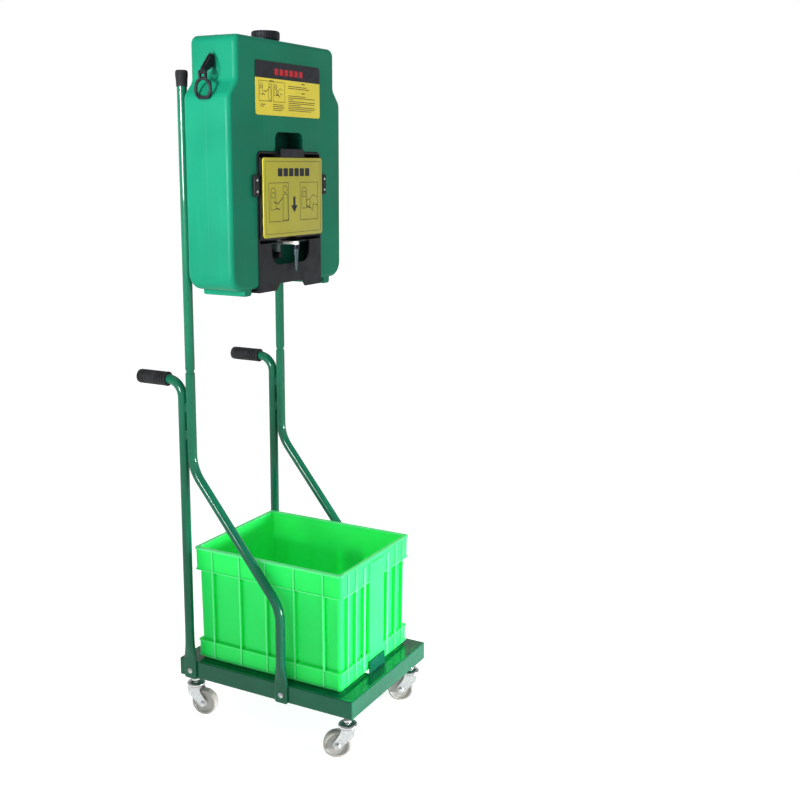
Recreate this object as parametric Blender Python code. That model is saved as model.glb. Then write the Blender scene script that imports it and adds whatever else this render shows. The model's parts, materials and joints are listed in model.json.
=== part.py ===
"""Portable gravity-fed eyewash station: a 22-litre tank with a fold-down spray arm, carried by a wheeled
tube frame with a storage crate. Metres, +Z up, front towards -Y, origin on the floor under the middle of
the station."""
import math

import bmesh
import bpy
from mathutils import Matrix, Vector

# ---- Driving dimensions -------------------------------------------------------------------------
GAP = 0.0003            # between pieces that touch
SHEET = 0.002           # folded tray sheet

TRAY_HALF_X = 0.178
TRAY_Y = (-0.284, 0.194)
TRAY_TOP = 0.1454
SKIRT = 0.041
TAB_HALF_X = 0.036      # crate stops bent up from the tray
TAB_TALL = 0.030        # also the length of the window that each stop leaves under the crate

TUBE_R = 0.011
TUBE_WALL = 0.0015
TUBE_SIDES = 12         # facets around a tube, and around what fits over one
SLEEVE_SIDES = 16
FOOT_HALF_X = 0.0025    # flattened tube feet
FOOT_HALF_Y = 0.017
FOOT_LOW = 0.102
BOLT_Z = 0.121
TUBE_X = TRAY_HALF_X + GAP + FOOT_HALF_X
HANDLE_Y = 0.1593
HANDLE_TOP = 0.826      # axis of the grips
HANDLE_BEND = 0.038
GRIP_END_Y = 0.284
GRIP_LENGTH = 0.086
GRIP_R = 0.0170
FRONT_FOOT_Y = -0.0994
POST_Y = 0.1356
LOW_BEND_Z = 0.327
HIGH_BEND_Z = 0.6215
FRONT_BEND = 0.096
SLEEVE_TOP = 0.846
POST_TOP = 1.5075
POST_CAP_TALL = 0.035
BAR_THICK = 0.005       # crossbars between the posts
BAR_HALF = 0.015
UPPER_BAR_Z = 1.395
LOWER_BAR_Z = 1.090
HANGER_HALF_X = 0.060
HANGER_LIP_Y = 0.088
HANGER_SHELF = 1.416
HANGER_STEEL = 0.003

CASTER_X = TRAY_HALF_X - 0.026
CASTER_INSET_Y = 0.026
WHEEL_R = 0.0315        # to the flats
WHEEL_HALF = 0.011
WHEEL_SIDES = 20
TRAIL = 0.024
STEM_R = 0.005
STEM_TOP = 0.124
RAIL_LOW = 0.1085       # cross bars that hold the stems
RAIL_THICK = 0.004
FORK_IN = 0.0132        # inner face of each fork leg
AXLE_R = 0.004
CASTER_HEADINGS = {     # direction in which each wheel trails, degrees from +X
    "front_left": 119.4, "front_right": 119.4, "rear_left": 281.5, "rear_right": 247.0}

CRATE_HALF_X = 0.161
CRATE_Y = (-0.248, 0.1565)
CRATE_TALL = 0.278
CRATE_FOOT = 0.008      # set-in foot that fits the rim of a crate below
CRATE_TAPER = 0.003     # the foot is this much smaller on every side
CRATE_WALL = 0.003
CRATE_PROUD = 0.008     # bands and ribs stand this far out
CRATE_TOP_BAND = 0.055
CRATE_LOW_BAND = 0.048
CRATE_RIB = 0.0030
CRATE_RIB_PROUD = 0.0008
CRATE_RIM = 0.004
CRATE_PANEL_HALF = 0.034
LONG_RIBS = (0.12, 0.31, 0.50, 0.68, 0.87)
SHORT_RIBS = (0.10, 0.21, 0.33, 0.67, 0.79, 0.90)

TANK_HALF_X = 0.2245
TANK_Y = (-0.020, 0.100)
TANK_LOW = 1.040
TANK_TOP = 1.580
TANK_FOOT = 0.014
SHOULDER_IN = 0.028
SHOULDER_Z = (1.453, 1.484)
TANK_WALL = 0.004
RECESS_HALF_X = 0.128
RECESS_TOP = 1.340
RECESS_BACK = 0.022
GRIP_RECESS_HALF_X = 0.056
GRIP_RECESS_TOP = 1.382
NECK_Y = 0.040
NECK_R = 0.024
NECK_BORE_R = 0.020
NECK_TOP = 1.597
CAP_R = 0.032
CAP_TOP = 1.605

POCKET_HALF_X = 0.065   # the hanger's pocket in the tank's back
POCKET_Z = (1.385, 1.437)
POCKET_ROOF = 1.460
POCKET_FRONT = 0.078
CURTAIN = 0.004

LABEL_HALF_X = 0.129
LABEL_Z = (1.417, 1.532)

HINGE_Y = -0.014        # the spray arm's hinge
HINGE_Z = 1.157
PIN_R = 0.0025
FRAME_HALF_X = RECESS_HALF_X - 0.0005
FRAME_WALL = 0.004
FRAME_LOW = 1.030
FRAME_TOP = RECESS_TOP - 0.0015
FRAME_FRONT = -0.022
APRON_TOP = 1.1380
APRON_THICK = 0.004
MOUTH_HALF_X = 0.078
MOUTH_LOW = 1.088
BRACKET_Z = 1.265
ARM_HALF_X = 0.1225
ARM_FRONT = -0.028
ARM_BACK = 0.000
ARM_TOP = 1.326
ARM_WALL = 0.003
COVER_HALF_X = 0.120
COVER_LOW = 1.1505
COVER_THICK = 0.003
LATCH_HALF_X = 0.044
LATCH_TALL = 0.019
NOZZLE_X = 0.045
NOZZLE_Z = 1.257

UNION_R = 0.0065        # water union around the hinge pin, one half on the arm and one on the tank
UNION_END = 0.020
UNION_HALF_X = 0.0215
PIPE_X = 0.0105
SPIGOT_R = 0.0045
HOSE_R = 0.0060
FEED_DROP_DEG = 30.0
OUTLET_Z = 1.105
HOSE_Y = 0.008
DRAIN_X = 0.008
DRAIN_Z = 1.1336
DRAIN_Y = -0.0300
DRAIN_HEAD = 0.008
SLEEVE_TALL = 0.060

RING_X = TANK_HALF_X + 0.006
RING_PIVOT_Z = 1.500
RING_Y = 0.040

PAINT_GREEN = ("green_paint", (0.012, 0.145, 0.070), 0.25, 0.0)
TANK_GREEN = ("tank_green", (0.014, 0.230, 0.105), 0.45, 0.0)
CRATE_GREEN = ("crate_green", (0.020, 0.850, 0.110), 0.35, 0.0)
BLACK_PLASTIC = ("black_plastic", (0.012, 0.013, 0.016), 0.50, 0.0)
BLACK_RUBBER = ("black_rubber", (0.015, 0.015, 0.016), 0.70, 0.0)
GREY_RUBBER = ("grey_rubber", (0.200, 0.230, 0.250), 0.55, 0.0)
WHITE_PLASTIC = ("white_plastic", (0.800, 0.800, 0.780), 0.40, 0.0)
WHEEL_NYLON = ("wheel_nylon", (0.620, 0.600, 0.550), 0.40, 0.0)
YELLOW_PLASTIC = ("yellow_plastic", (0.600, 0.520, 0.040), 0.40, 0.0)
LABEL_FILM = ("label_film", (0.700, 0.630, 0.060), 0.35, 0.0)
ZINC = ("zinc", (0.560, 0.570, 0.580), 0.35, 1.0)
CHROME = ("chrome", (0.700, 0.700, 0.710), 0.12, 1.0)


# ---- Mesh helpers -------------------------------------------------------------------------------
def clear_scene():
    for item in list(bpy.data.objects):
        bpy.data.objects.remove(item, do_unlink=True)


def material(spec):
    name, colour, roughness, metallic = spec
    if name in bpy.data.materials:
        return bpy.data.materials[name]
    made = bpy.data.materials.new(name)
    made.use_nodes = True
    shader = made.node_tree.nodes["Principled BSDF"]
    shader.inputs["Base Color"].default_value = (*colour, 1.0)
    shader.inputs["Roughness"].default_value = roughness
    shader.inputs["Metallic"].default_value = metallic
    made.diffuse_color = (*colour, 1.0)
    return made


def finish(name, mesh, finish_spec, origin=(0, 0, 0), smooth_deg=35):
    """Turn a bmesh in world coordinates into an object with its origin at the given point."""
    bmesh.ops.recalc_face_normals(mesh, faces=mesh.faces)
    mesh.transform(Matrix.Translation(-Vector(origin)))
    data = bpy.data.meshes.new(name)
    mesh.to_mesh(data)
    mesh.free()
    data.shade_smooth()
    data.set_sharp_from_angle(angle=math.radians(smooth_deg))
    item = bpy.data.objects.new(name, data)
    item.location = origin
    bpy.context.collection.objects.link(item)
    if finish_spec:
        data.materials.append(material(finish_spec))
    return item


def loft(mesh, rings, closed=False):
    """Skin over rings of equal length and give back its two end caps, unless the rings close up."""
    rows = [[mesh.verts.new(point) for point in ring] for ring in rings]
    count = len(rows[0])
    pairs = list(zip(rows, rows[1:]))
    if closed:
        pairs.append((rows[-1], rows[0]))
    for low, high in pairs:
        for i in range(count):
            j = (i + 1) % count
            mesh.faces.new((low[i], low[j], high[j], high[i]))
    return [] if closed else [mesh.faces.new(rows[0]), mesh.faces.new(rows[-1])]


def box(mesh, low, high):
    x0, y0, z0 = low
    x1, y1, z1 = high
    loft(mesh, [[(x0, y0, z), (x1, y0, z), (x1, y1, z), (x0, y1, z)] for z in (z0, z1)])


def frame_of(axis):
    """Two directions across an axis, which with it make a right-handed set."""
    axis = Vector(axis).normalized()
    side = Vector((0, 0, 1)) if abs(axis.z) < 0.9 else Vector((0, 1, 0))
    across = side.cross(axis).normalized()
    return axis, across, axis.cross(across)


def turned(mesh, profile, base, axis=(0, 0, 1), sides=20, closed=False, start_deg=0.0):
    """Turn (radius, height) points about an axis through base."""
    axis, across, other = frame_of(axis)
    rings = []
    for radius, height in profile:
        ring = []
        for i in range(sides):
            angle = math.radians(start_deg) + math.tau * i / sides
            spoke = across * math.cos(angle) + other * math.sin(angle)
            ring.append(Vector(base) + axis * height + spoke * radius)
        rings.append(ring)
    loft(mesh, rings, closed)


def sleeve(mesh, outer, inner, height, base, axis=(0, 0, 1), sides=20):
    turned(mesh, [(outer, 0), (outer, height), (inner, height), (inner, 0)], base, axis, sides, True)


def rounded(corners, steps=4):
    """Outline with its corners rounded: each corner is (u, v, radius)."""
    points = []
    count = len(corners)
    for i, (u, v, radius) in enumerate(corners):
        here = Vector((u, v))
        if radius <= 0:
            points.append(here)
            continue
        back = (Vector(corners[i - 1][:2]) - here).normalized()
        ahead = (Vector(corners[(i + 1) % count][:2]) - here).normalized()
        half = back.angle(ahead) / 2
        centre = here + (back + ahead).normalized() * radius / math.sin(half)
        reach = radius / math.tan(half)
        first = here + back * reach - centre
        last = here + ahead * reach - centre
        turn = math.atan2(first.cross(last), first.dot(last))
        for k in range(steps + 1):
            angle = turn * k / steps
            cos, sin = math.cos(angle), math.sin(angle)
            points.append(centre + Vector((first.x * cos - first.y * sin, first.x * sin + first.y * cos)))
    return points


def rectangle(u0, v0, u1, v1, radius):
    return [(u0, v0, radius), (u1, v0, radius), (u1, v1, radius), (u0, v1, radius)]


PLANES = {
    "X": lambda u, v, w: (w, u, v),     # outline in YZ, extruded along X
    "Y": lambda u, v, w: (u, w, v),     # outline in XZ, extruded along Y
    "Z": lambda u, v, w: (u, v, w),     # outline in XY, extruded along Z
}


def prism(mesh, outline, along, low, high, bevel=0.0, bevel_steps=2):
    """Extrude an outline along an axis, with an optional bevel around both ends."""
    place = PLANES[along]
    caps = loft(mesh, [[place(p[0], p[1], w) for p in outline] for w in (low, high)])
    if bevel > 0:
        bmesh.ops.recalc_face_normals(mesh, faces=mesh.faces)
        edges = list({edge for cap in caps for edge in cap.edges})
        bmesh.ops.bevel(mesh, geom=edges, offset=bevel, segments=bevel_steps, profile=0.5,
                        affect="EDGES", clamp_overlap=True)


def cutter(name, mesh):
    item = finish(name, mesh, None)
    item.hide_render = True
    item.display_type = "WIRE"
    item.hide_set(True)
    return item


def cut(item, tool, operation="DIFFERENCE"):
    step = item.modifiers.new(tool.name, "BOOLEAN")
    step.operation = operation
    step.object = tool
    step.solver = "EXACT"


def mirrored(sign, name):
    return ("left_" if sign < 0 else "right_") + name


def bent_path(points, radius, steps=5):
    """Centre line in YZ through the points, with its inner corners rounded."""
    corners = [(u, v, 0 if i in (0, len(points) - 1) else radius) for i, (u, v) in enumerate(points)]
    return rounded(corners, steps)


def tube_rings(path, x, radius, sides=TUBE_SIDES):
    """Rings across a centre line in YZ, round all along."""
    rings = []
    for i, point in enumerate(path):
        before = path[max(i - 1, 0)]
        after = path[min(i + 1, len(path) - 1)]
        along = (after - before).normalized()
        normal = Vector((-along.y, along.x))
        ring = []
        for k in range(sides):
            angle = math.tau * k / sides
            offset = normal * radius * math.cos(angle)
            ring.append((x + radius * math.sin(angle), point.x + offset.x, point.y + offset.y))
        rings.append(ring)
    return rings


def foot_rings(x, y, sides=TUBE_SIDES):
    """Rings from the flattened foot up to where the tube is round again."""
    stations = (  # height, half width along X, half width along Y, squareness
        (FOOT_LOW, FOOT_HALF_X, 0.0140, 5.0), (FOOT_LOW + 0.003, FOOT_HALF_X, FOOT_HALF_Y, 5.0),
        (TRAY_TOP + 0.004, FOOT_HALF_X, FOOT_HALF_Y, 5.0), (0.160, 0.0042, 0.0162, 3.0),
        (0.176, 0.0078, 0.0139, 2.3), (0.194, 0.0102, 0.0117, 2.0), (0.204, TUBE_R, TUBE_R, 2.0))
    rings = []
    for height, half_x, half_y, square in stations:
        ring = []
        for k in range(sides):
            angle = math.tau * k / sides
            cos, sin = math.cos(angle), math.sin(angle)
            u = math.copysign(abs(cos) ** (2 / square), cos) * half_y
            v = math.copysign(abs(sin) ** (2 / square), sin) * half_x
            ring.append((x + v, y - u, height))
        rings.append(ring)
    return rings


# ---- Trolley ------------------------------------------------------------------------------------
def build_tray():
    mesh = bmesh.new()
    y0, y1 = TRAY_Y
    outer = rounded(rectangle(-TRAY_HALF_X, y0, TRAY_HALF_X, y1, 0.003), 3)
    inner = rounded(rectangle(-TRAY_HALF_X + SHEET, y0 + SHEET, TRAY_HALF_X - SHEET, y1 - SHEET, 0.001), 3)
    low, edge = TRAY_TOP - SKIRT, 0.0015
    top = rounded(rectangle(-TRAY_HALF_X + edge, y0 + edge, TRAY_HALF_X - edge, y1 - edge, 0.0015), 3)
    under = TRAY_TOP - SHEET
    levels = ((top, TRAY_TOP), (outer, TRAY_TOP - edge), (outer, low), (inner, low), (inner, under))
    loft(mesh, [[(p.x, p.y, z) for p in outline] for outline, z in levels])
    tray = finish("base_tray", mesh, PAINT_GREEN)
    windows, tabs = bmesh.new(), bmesh.new()
    for inner_face, outer_face in tab_places():
        far = inner_face - math.copysign(TAB_TALL, outer_face - inner_face)
        y_low, y_high = sorted((inner_face, far))
        box(windows, (-TAB_HALF_X, y_low, under - SHEET), (TAB_HALF_X, y_high, TRAY_TOP + SHEET))
        y_low, y_high = sorted((inner_face, outer_face))
        box(tabs, (-TAB_HALF_X, y_low, TRAY_TOP - SHEET * 0.9), (TAB_HALF_X, y_high, TRAY_TOP + TAB_TALL))
    cut(tray, cutter("tray_tabs", tabs), "UNION")
    cut(tray, cutter("tray_windows", windows))
    nuts, holes = bmesh.new(), bmesh.new()
    for y in (FRONT_FOOT_Y, HANDLE_Y):
        turned(holes, [(0.0034, -0.2), (0.0034, 0.2)], (0, y, BOLT_Z), (1, 0, 0), 12)
        for sign in (-1, 1):
            inside = TRAY_HALF_X - SHEET
            turned(nuts, [(0.0058, inside - 0.005), (0.0058, inside + 0.001)], (0, y, BOLT_Z),
                   (sign, 0, 0), 6)
    cut(tray, cutter("weld_nuts", nuts), "UNION")
    cut(tray, cutter("tray_holes", holes))


def tab_places():
    """Inner and outer face of the front and the rear crate stop."""
    clear = 0.0020 - CRATE_TAPER
    front = CRATE_Y[0] - clear
    rear = CRATE_Y[1] + clear
    return ((front, front - SHEET), (rear, rear + SHEET))


def build_caster_rails():
    """Flat bars across the tray, each with two weld nuts for the caster stems."""
    half_y = 0.020
    end = TRAY_HALF_X - SHEET - GAP
    nut_top, bore = RAIL_LOW + RAIL_THICK + 0.007, STEM_R + GAP
    front, rear = TRAY_Y[0] + CASTER_INSET_Y, TRAY_Y[1] - CASTER_INSET_Y
    for name, y in (("front_caster_rail", front), ("rear_caster_rail", rear)):
        bar = bmesh.new()
        box(bar, (-end, y - half_y, RAIL_LOW), (end, y + half_y, RAIL_LOW + RAIL_THICK))
        rail = finish(name, bar, PAINT_GREEN, (0, y, RAIL_LOW))
        nuts, holes = bmesh.new(), bmesh.new()
        for x in (-CASTER_X, CASTER_X):
            turned(nuts, [(0.0095, RAIL_LOW + 0.001), (0.0095, nut_top)], (x, y, 0), sides=6)
            turned(holes, [(bore, RAIL_LOW - 0.01), (bore, nut_top + 0.01)], (x, y, 0), sides=16)
        cut(rail, cutter("nuts_" + name, nuts), "UNION")
        cut(rail, cutter("holes_" + name, holes))


def build_handle_tube(sign):
    mesh = bmesh.new()
    end = GRIP_END_Y - 0.004
    path = bent_path([(HANDLE_Y, 0.212), (HANDLE_Y, HANDLE_TOP), (end, HANDLE_TOP)], HANDLE_BEND, 4)
    outer = foot_rings(sign * TUBE_X, HANDLE_Y) + tube_rings(path, sign * TUBE_X, TUBE_R)
    inner = tube_rings(path, sign * TUBE_X, TUBE_R - TUBE_WALL)
    loft(mesh, outer + inner[::-1])
    tube = finish(mirrored(sign, "handle_tube"), mesh, PAINT_GREEN, (sign * TUBE_X, HANDLE_Y, BOLT_Z))
    cut(tube, bolt_hole(sign, HANDLE_Y, mirrored(sign, "handle_hole")))


def build_front_tube(sign):
    mesh = bmesh.new()
    path = bent_path([(FRONT_FOOT_Y, 0.212), (FRONT_FOOT_Y, LOW_BEND_Z), (POST_Y, HIGH_BEND_Z),
                      (POST_Y, SLEEVE_TOP)], FRONT_BEND, 3)
    outer = foot_rings(sign * TUBE_X, FRONT_FOOT_Y) + tube_rings(path, sign * TUBE_X, TUBE_R)
    inner = tube_rings(path, sign * TUBE_X, TUBE_R - TUBE_WALL)
    loft(mesh, outer + inner[::-1])
    tube = finish(mirrored(sign, "front_tube"), mesh, PAINT_GREEN, (sign * TUBE_X, FRONT_FOOT_Y, BOLT_Z))
    cut(tube, bolt_hole(sign, FRONT_FOOT_Y, mirrored(sign, "front_hole")))


def bolt_hole(sign, y, name):
    mesh = bmesh.new()
    turned(mesh, [(0.0035, -0.02), (0.0035, 0.02)], (sign * TUBE_X, y, BOLT_Z), (1, 0, 0), 12)
    return cutter(name, mesh)


def build_upper_post(sign):
    mesh = bmesh.new()
    neck = (TUBE_R - TUBE_WALL) * math.cos(math.pi / TUBE_SIDES) - GAP
    bore = neck - TUBE_WALL
    base = (sign * TUBE_X, POST_Y, 0)
    profile = [(neck - 0.0005, SLEEVE_TOP - 0.040), (neck, SLEEVE_TOP - 0.038), (neck, SLEEVE_TOP + 0.003),
               (TUBE_R, SLEEVE_TOP + 0.011), (TUBE_R, POST_TOP), (bore, POST_TOP),
               (bore, SLEEVE_TOP - 0.040)]
    turned(mesh, profile, base, sides=16, closed=True)
    finish(mirrored(sign, "upper_post"), mesh, PAINT_GREEN, base)


def build_post_cap(sign):
    mesh = bmesh.new()
    top = POST_TOP + 0.0035
    low = top - POST_CAP_TALL
    bore = (TUBE_R + GAP) / math.cos(math.pi / SLEEVE_SIDES)
    profile = [(bore, low), (0.0120, low), (0.0122, low + 0.008), (0.0136, top - 0.014),
               (0.0137, top - 0.006), (0.0122, top - 0.0015), (0.0085, top), (0.0040, top)]
    inside = [(0.004, POST_TOP + GAP), (bore, POST_TOP + GAP)]
    turned(mesh, inside + profile, (sign * TUBE_X, POST_Y, 0), sides=SLEEVE_SIDES)
    finish(mirrored(sign, "post_cap"), mesh, BLACK_RUBBER, (sign * TUBE_X, POST_Y, low))


def build_grip(sign):
    mesh = bmesh.new()
    bore = (TUBE_R + GAP) / math.cos(math.pi / TUBE_SIDES)
    base = (sign * TUBE_X, GRIP_END_Y - GRIP_LENGTH, HANDLE_TOP)
    ribs = 5
    pitch = (GRIP_LENGTH - 0.022) / ribs
    profile = [(bore, 0.0), (GRIP_R - 0.001, 0.0), (GRIP_R, 0.001), (GRIP_R, 0.008)]
    for i in range(ribs):
        start = 0.010 + i * pitch
        profile += [(GRIP_R - 0.0022, start + 0.001), (GRIP_R, start + 0.003),
                    (GRIP_R, start + pitch - 0.001)]
    profile += [(GRIP_R, GRIP_LENGTH - 0.006), (GRIP_R - 0.004, GRIP_LENGTH - 0.001),
                (GRIP_R - 0.008, GRIP_LENGTH), (0.004, GRIP_LENGTH)]
    inside = [(0.004, GRIP_LENGTH - 0.004 + GAP), (bore, GRIP_LENGTH - 0.004 + GAP)]
    turned(mesh, inside + profile, base, (0, 1, 0), TUBE_SIDES)
    finish(mirrored(sign, "grip"), mesh, BLACK_RUBBER, base)


def build_foot_bolts():
    face = TRAY_HALF_X + 2 * GAP + 2 * FOOT_HALF_X
    tip = TRAY_HALF_X - SHEET - 0.009
    for sign in (-1, 1):
        for place, y in (("front", FRONT_FOOT_Y), ("handle", HANDLE_Y)):
            mesh = bmesh.new()
            turned(mesh, [(0.0025, tip), (0.0030, tip + 0.001), (0.0030, face), (0.0056, face),
                          (0.0056, face + 0.0012), (0.0045, face + 0.0030), (0.0022, face + 0.0040)],
                   (0, y, BOLT_Z), (sign, 0, 0), 12)
            finish(mirrored(sign, place + "_foot_bolt"), mesh, ZINC, (sign * face, y, BOLT_Z))


def build_crossbars():
    rear = POST_Y - TUBE_R - GAP
    for name, z, front, half in (("upper_crossbar", UPPER_BAR_Z, rear - BAR_THICK, BAR_HALF),
                                 ("lower_crossbar", LOWER_BAR_Z, TANK_Y[1] + GAP, 0.010)):
        mesh = bmesh.new()
        outline = rounded(rectangle(-TUBE_X - 0.008, z - half, TUBE_X + 0.008, z + half, 0.004), 3)
        prism(mesh, outline, "Y", front, rear)
        finish(name, mesh, PAINT_GREEN, (0, front, z))


def build_hanger():
    """Z-shaped steel bracket: a back plate on the crossbar, a shelf, and a lip behind the tank's curtain."""
    mesh = bmesh.new()
    back = POST_Y - TUBE_R - 2 * GAP - BAR_THICK
    front, lip_back = back - HANGER_STEEL, HANGER_LIP_Y + HANGER_STEEL
    foot, shelf_top, lip_top = UPPER_BAR_Z - 0.012, HANGER_SHELF + HANGER_STEEL, POCKET_ROOF - GAP
    outline = [(back, foot), (back, shelf_top), (lip_back, shelf_top), (lip_back, lip_top),
               (HANGER_LIP_Y, lip_top), (HANGER_LIP_Y, HANGER_SHELF), (front, HANGER_SHELF), (front, foot)]
    prism(mesh, [Vector(p) for p in outline], "X", -HANGER_HALF_X, HANGER_HALF_X)
    finish("tank_hanger", mesh, ZINC, (0, back, UPPER_BAR_Z))


# ---- Casters ------------------------------------------------------------------------------------
def caster_places():
    front, rear = TRAY_Y[0] + CASTER_INSET_Y, TRAY_Y[1] - CASTER_INSET_Y
    return {"front_left": (-CASTER_X, front), "front_right": (CASTER_X, front),
            "rear_left": (-CASTER_X, rear), "rear_right": (CASTER_X, rear)}


def build_caster(name, x, y):
    heading = math.radians(CASTER_HEADINGS[name])
    trail = Vector((math.cos(heading), math.sin(heading), 0)) * TRAIL
    spin = Vector((-math.sin(heading), math.cos(heading), 0))
    hub = Vector((x, y, WHEEL_R)) + trail
    build_caster_head(name, x, y)
    build_fork(name, x, y, hub, spin)
    build_wheel(name, hub, spin)
    build_axle(name, hub, spin)


def build_caster_head(name, x, y):
    mesh = bmesh.new()
    profile = [(0.0040, 0.0735), (0.0215, 0.0735), (0.0230, 0.0755), (0.0225, 0.0790), (0.0170, 0.0825),
               (0.0080, 0.0845), (0.0080, 0.0875), (STEM_R, 0.0875), (STEM_R, STEM_TOP - 0.001),
               (STEM_R - 0.001, STEM_TOP)]
    turned(mesh, profile, (x, y, 0), sides=14)
    finish("caster_head_" + name, mesh, CHROME, (x, y, 0.0735))


def build_fork(name, x, y, hub, spin):
    """A pressed fork: a round top plate with two legs that taper down to the axle."""
    mesh = bmesh.new()
    top, plate = 0.0735 - GAP, 0.003
    turned(mesh, [(0.0200, top - plate), (0.0205, top - 0.0015), (0.0190, top)], (x, y, 0), sides=16)
    fork = finish("caster_fork_" + name, mesh, ZINC, (x, y, top))
    legs = bmesh.new()
    along = (hub - Vector((x, y, WHEEL_R))).normalized()
    outline = rounded([(-0.016, top - 0.001, 0), (-0.014, 0.055, 0.010), (TRAIL - 0.0085, 0.026, 0.008),
                       (TRAIL + 0.0085, 0.023, 0.008), (TRAIL + 0.0085, 0.038, 0.010), (0.0175, 0.060, 0.012),
                       (0.0135, top - 0.001, 0)], 3)
    for sign in (-1, 1):
        rings = []
        for offset in (FORK_IN, FORK_IN + 0.0025):
            rings.append([Vector((x, y, 0)) + along * p.x + spin * sign * offset + Vector((0, 0, p.y))
                          for p in outline])
        loft(legs, rings)
    cut(fork, cutter("legs_" + name, legs), "UNION")
    hole = bmesh.new()
    turned(hole, [(AXLE_R + GAP, -0.03), (AXLE_R + GAP, 0.03)], hub, spin, 12)
    cut(fork, cutter("axle_hole_" + name, hole))


def build_wheel(name, hub, spin):
    mesh = bmesh.new()
    corner = WHEEL_R / math.cos(math.pi / WHEEL_SIDES)
    bore = AXLE_R + GAP
    half = [(bore, 0.0118), (0.0085, 0.0118), (0.0095, 0.0075), (0.0235, 0.0070),
            (0.0275, WHEEL_HALF - 0.0010), (corner, 0.0065)]
    profile = [(radius, -height) for radius, height in half] + half[::-1]
    turned(mesh, profile, hub, spin, WHEEL_SIDES, True, 180 / WHEEL_SIDES)
    finish("caster_wheel_" + name, mesh, WHEEL_NYLON, hub)


def build_axle(name, hub, spin):
    mesh = bmesh.new()
    side = FORK_IN + 0.0025 + GAP
    turned(mesh, [(0.0045, -side - 0.0035), (0.0060, -side - 0.0025), (0.0060, -side), (AXLE_R, -side),
                  (AXLE_R, side), (0.0060, side), (0.0060, side + 0.0035), (0.0035, side + 0.0045)],
           hub, spin, 12)
    finish("caster_axle_" + name, mesh, ZINC, hub)


# ---- Crate --------------------------------------------------------------------------------------
def crate_section(z, inset, radius):
    """Outline of the crate at a height, drawn in from its outer face."""
    low = TRAY_TOP + GAP
    lean = CRATE_TAPER * (1 - (z - low) / CRATE_TALL)
    x = CRATE_HALF_X - lean - inset
    y0, y1 = CRATE_Y[0] + lean + inset, CRATE_Y[1] - lean - inset
    return [(p.x, p.y, z) for p in rounded(rectangle(-x, y0, x, y1, radius), 3)]


def build_crate():
    low = TRAY_TOP + GAP
    top = low + CRATE_TALL
    step = 0.002
    levels = ((low, CRATE_PROUD), (low + CRATE_FOOT, CRATE_PROUD), (low + CRATE_FOOT, 0.0),
              (low + CRATE_LOW_BAND, 0.0), (low + CRATE_LOW_BAND + step, CRATE_PROUD),
              (top - CRATE_TOP_BAND - step, CRATE_PROUD), (top - CRATE_TOP_BAND, 0.0), (top, 0.0))
    mesh = bmesh.new()
    loft(mesh, [crate_section(z, inset, 0.009) for z, inset in levels])
    crate = finish("crate", mesh, CRATE_GREEN, (0, sum(CRATE_Y) / 2, low))
    ribs = bmesh.new()
    for share in LONG_RIBS:
        for sign in (-1, 1):
            crate_rib(ribs, "X", sign, share, CRATE_RIB / 2)
    for share in SHORT_RIBS:
        for sign in (-1, 1):
            crate_rib(ribs, "Y", sign, share, CRATE_RIB / 2)
    for sign in (-1, 1):
        crate_rib(ribs, "Y", sign, 0.5, CRATE_PANEL_HALF)
    cut(crate, cutter("crate_ribs", ribs), "UNION")
    wall = CRATE_WALL + CRATE_PROUD
    inside = bmesh.new()
    loft(inside, [crate_section(low + CRATE_WALL, wall, 0.006), crate_section(top + 0.01, wall, 0.006)])
    cut(crate, cutter("crate_inside", inside))


def crate_rib(mesh, side, sign, share, half):
    """A rib from just above the foot to just under the rim, leaning with the wall that it stands on."""
    low = TRAY_TOP + GAP
    rings = []
    for z in (low + CRATE_FOOT + 0.002, low + CRATE_TALL - CRATE_RIM):
        lean = CRATE_TAPER * (1 - (z - low) / CRATE_TALL)
        faces = (lean - CRATE_RIB_PROUD, lean + CRATE_PROUD + 0.0015)
        ring = []
        for inset, shift in ((faces[0], -half), (faces[0], half), (faces[1], half), (faces[1], -half)):
            if side == "X":
                along = CRATE_Y[0] + share * (CRATE_Y[1] - CRATE_Y[0]) + shift
                ring.append((sign * (CRATE_HALF_X - inset), along, z))
            else:
                edge = CRATE_Y[1] - inset if sign > 0 else CRATE_Y[0] + inset
                ring.append(((2 * share - 1) * CRATE_HALF_X + shift, edge, z))
        rings.append(ring)
    loft(mesh, rings)


# ---- Tank ---------------------------------------------------------------------------------------
def tank_outline(inset, steps=4):
    """Front view of the tank: bottom corners, shoulders and top corners, drawn in by inset."""
    x, z0, z1 = TANK_HALF_X - inset, TANK_LOW + inset, TANK_TOP - inset
    top_x = x - SHOULDER_IN
    right = [(x, z0, 0.038 - inset), (x, SHOULDER_Z[0], 0.020), (top_x, SHOULDER_Z[1], 0.020),
             (top_x, z1, 0.018 - inset)]
    left = [(-u, v, r) for u, v, r in reversed(right)]
    return rounded(right + left, steps)


def recess_outline(grow=0.0, steps=3):
    """The arm's bay, open below, with the narrower finger recess above it."""
    x, top = RECESS_HALF_X + grow, RECESS_TOP + grow
    finger_x, finger_top = GRIP_RECESS_HALF_X + grow, GRIP_RECESS_TOP + grow
    low = TANK_LOW - 0.05 if grow == 0 else TANK_LOW - 0.02
    right = [(x, low, 0), (x, top, 0.012), (finger_x, top, 0.006), (finger_x, finger_top, 0.014)]
    left = [(-u, v, r) for u, v, r in reversed(right)]
    return rounded(right + left, steps)


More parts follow.
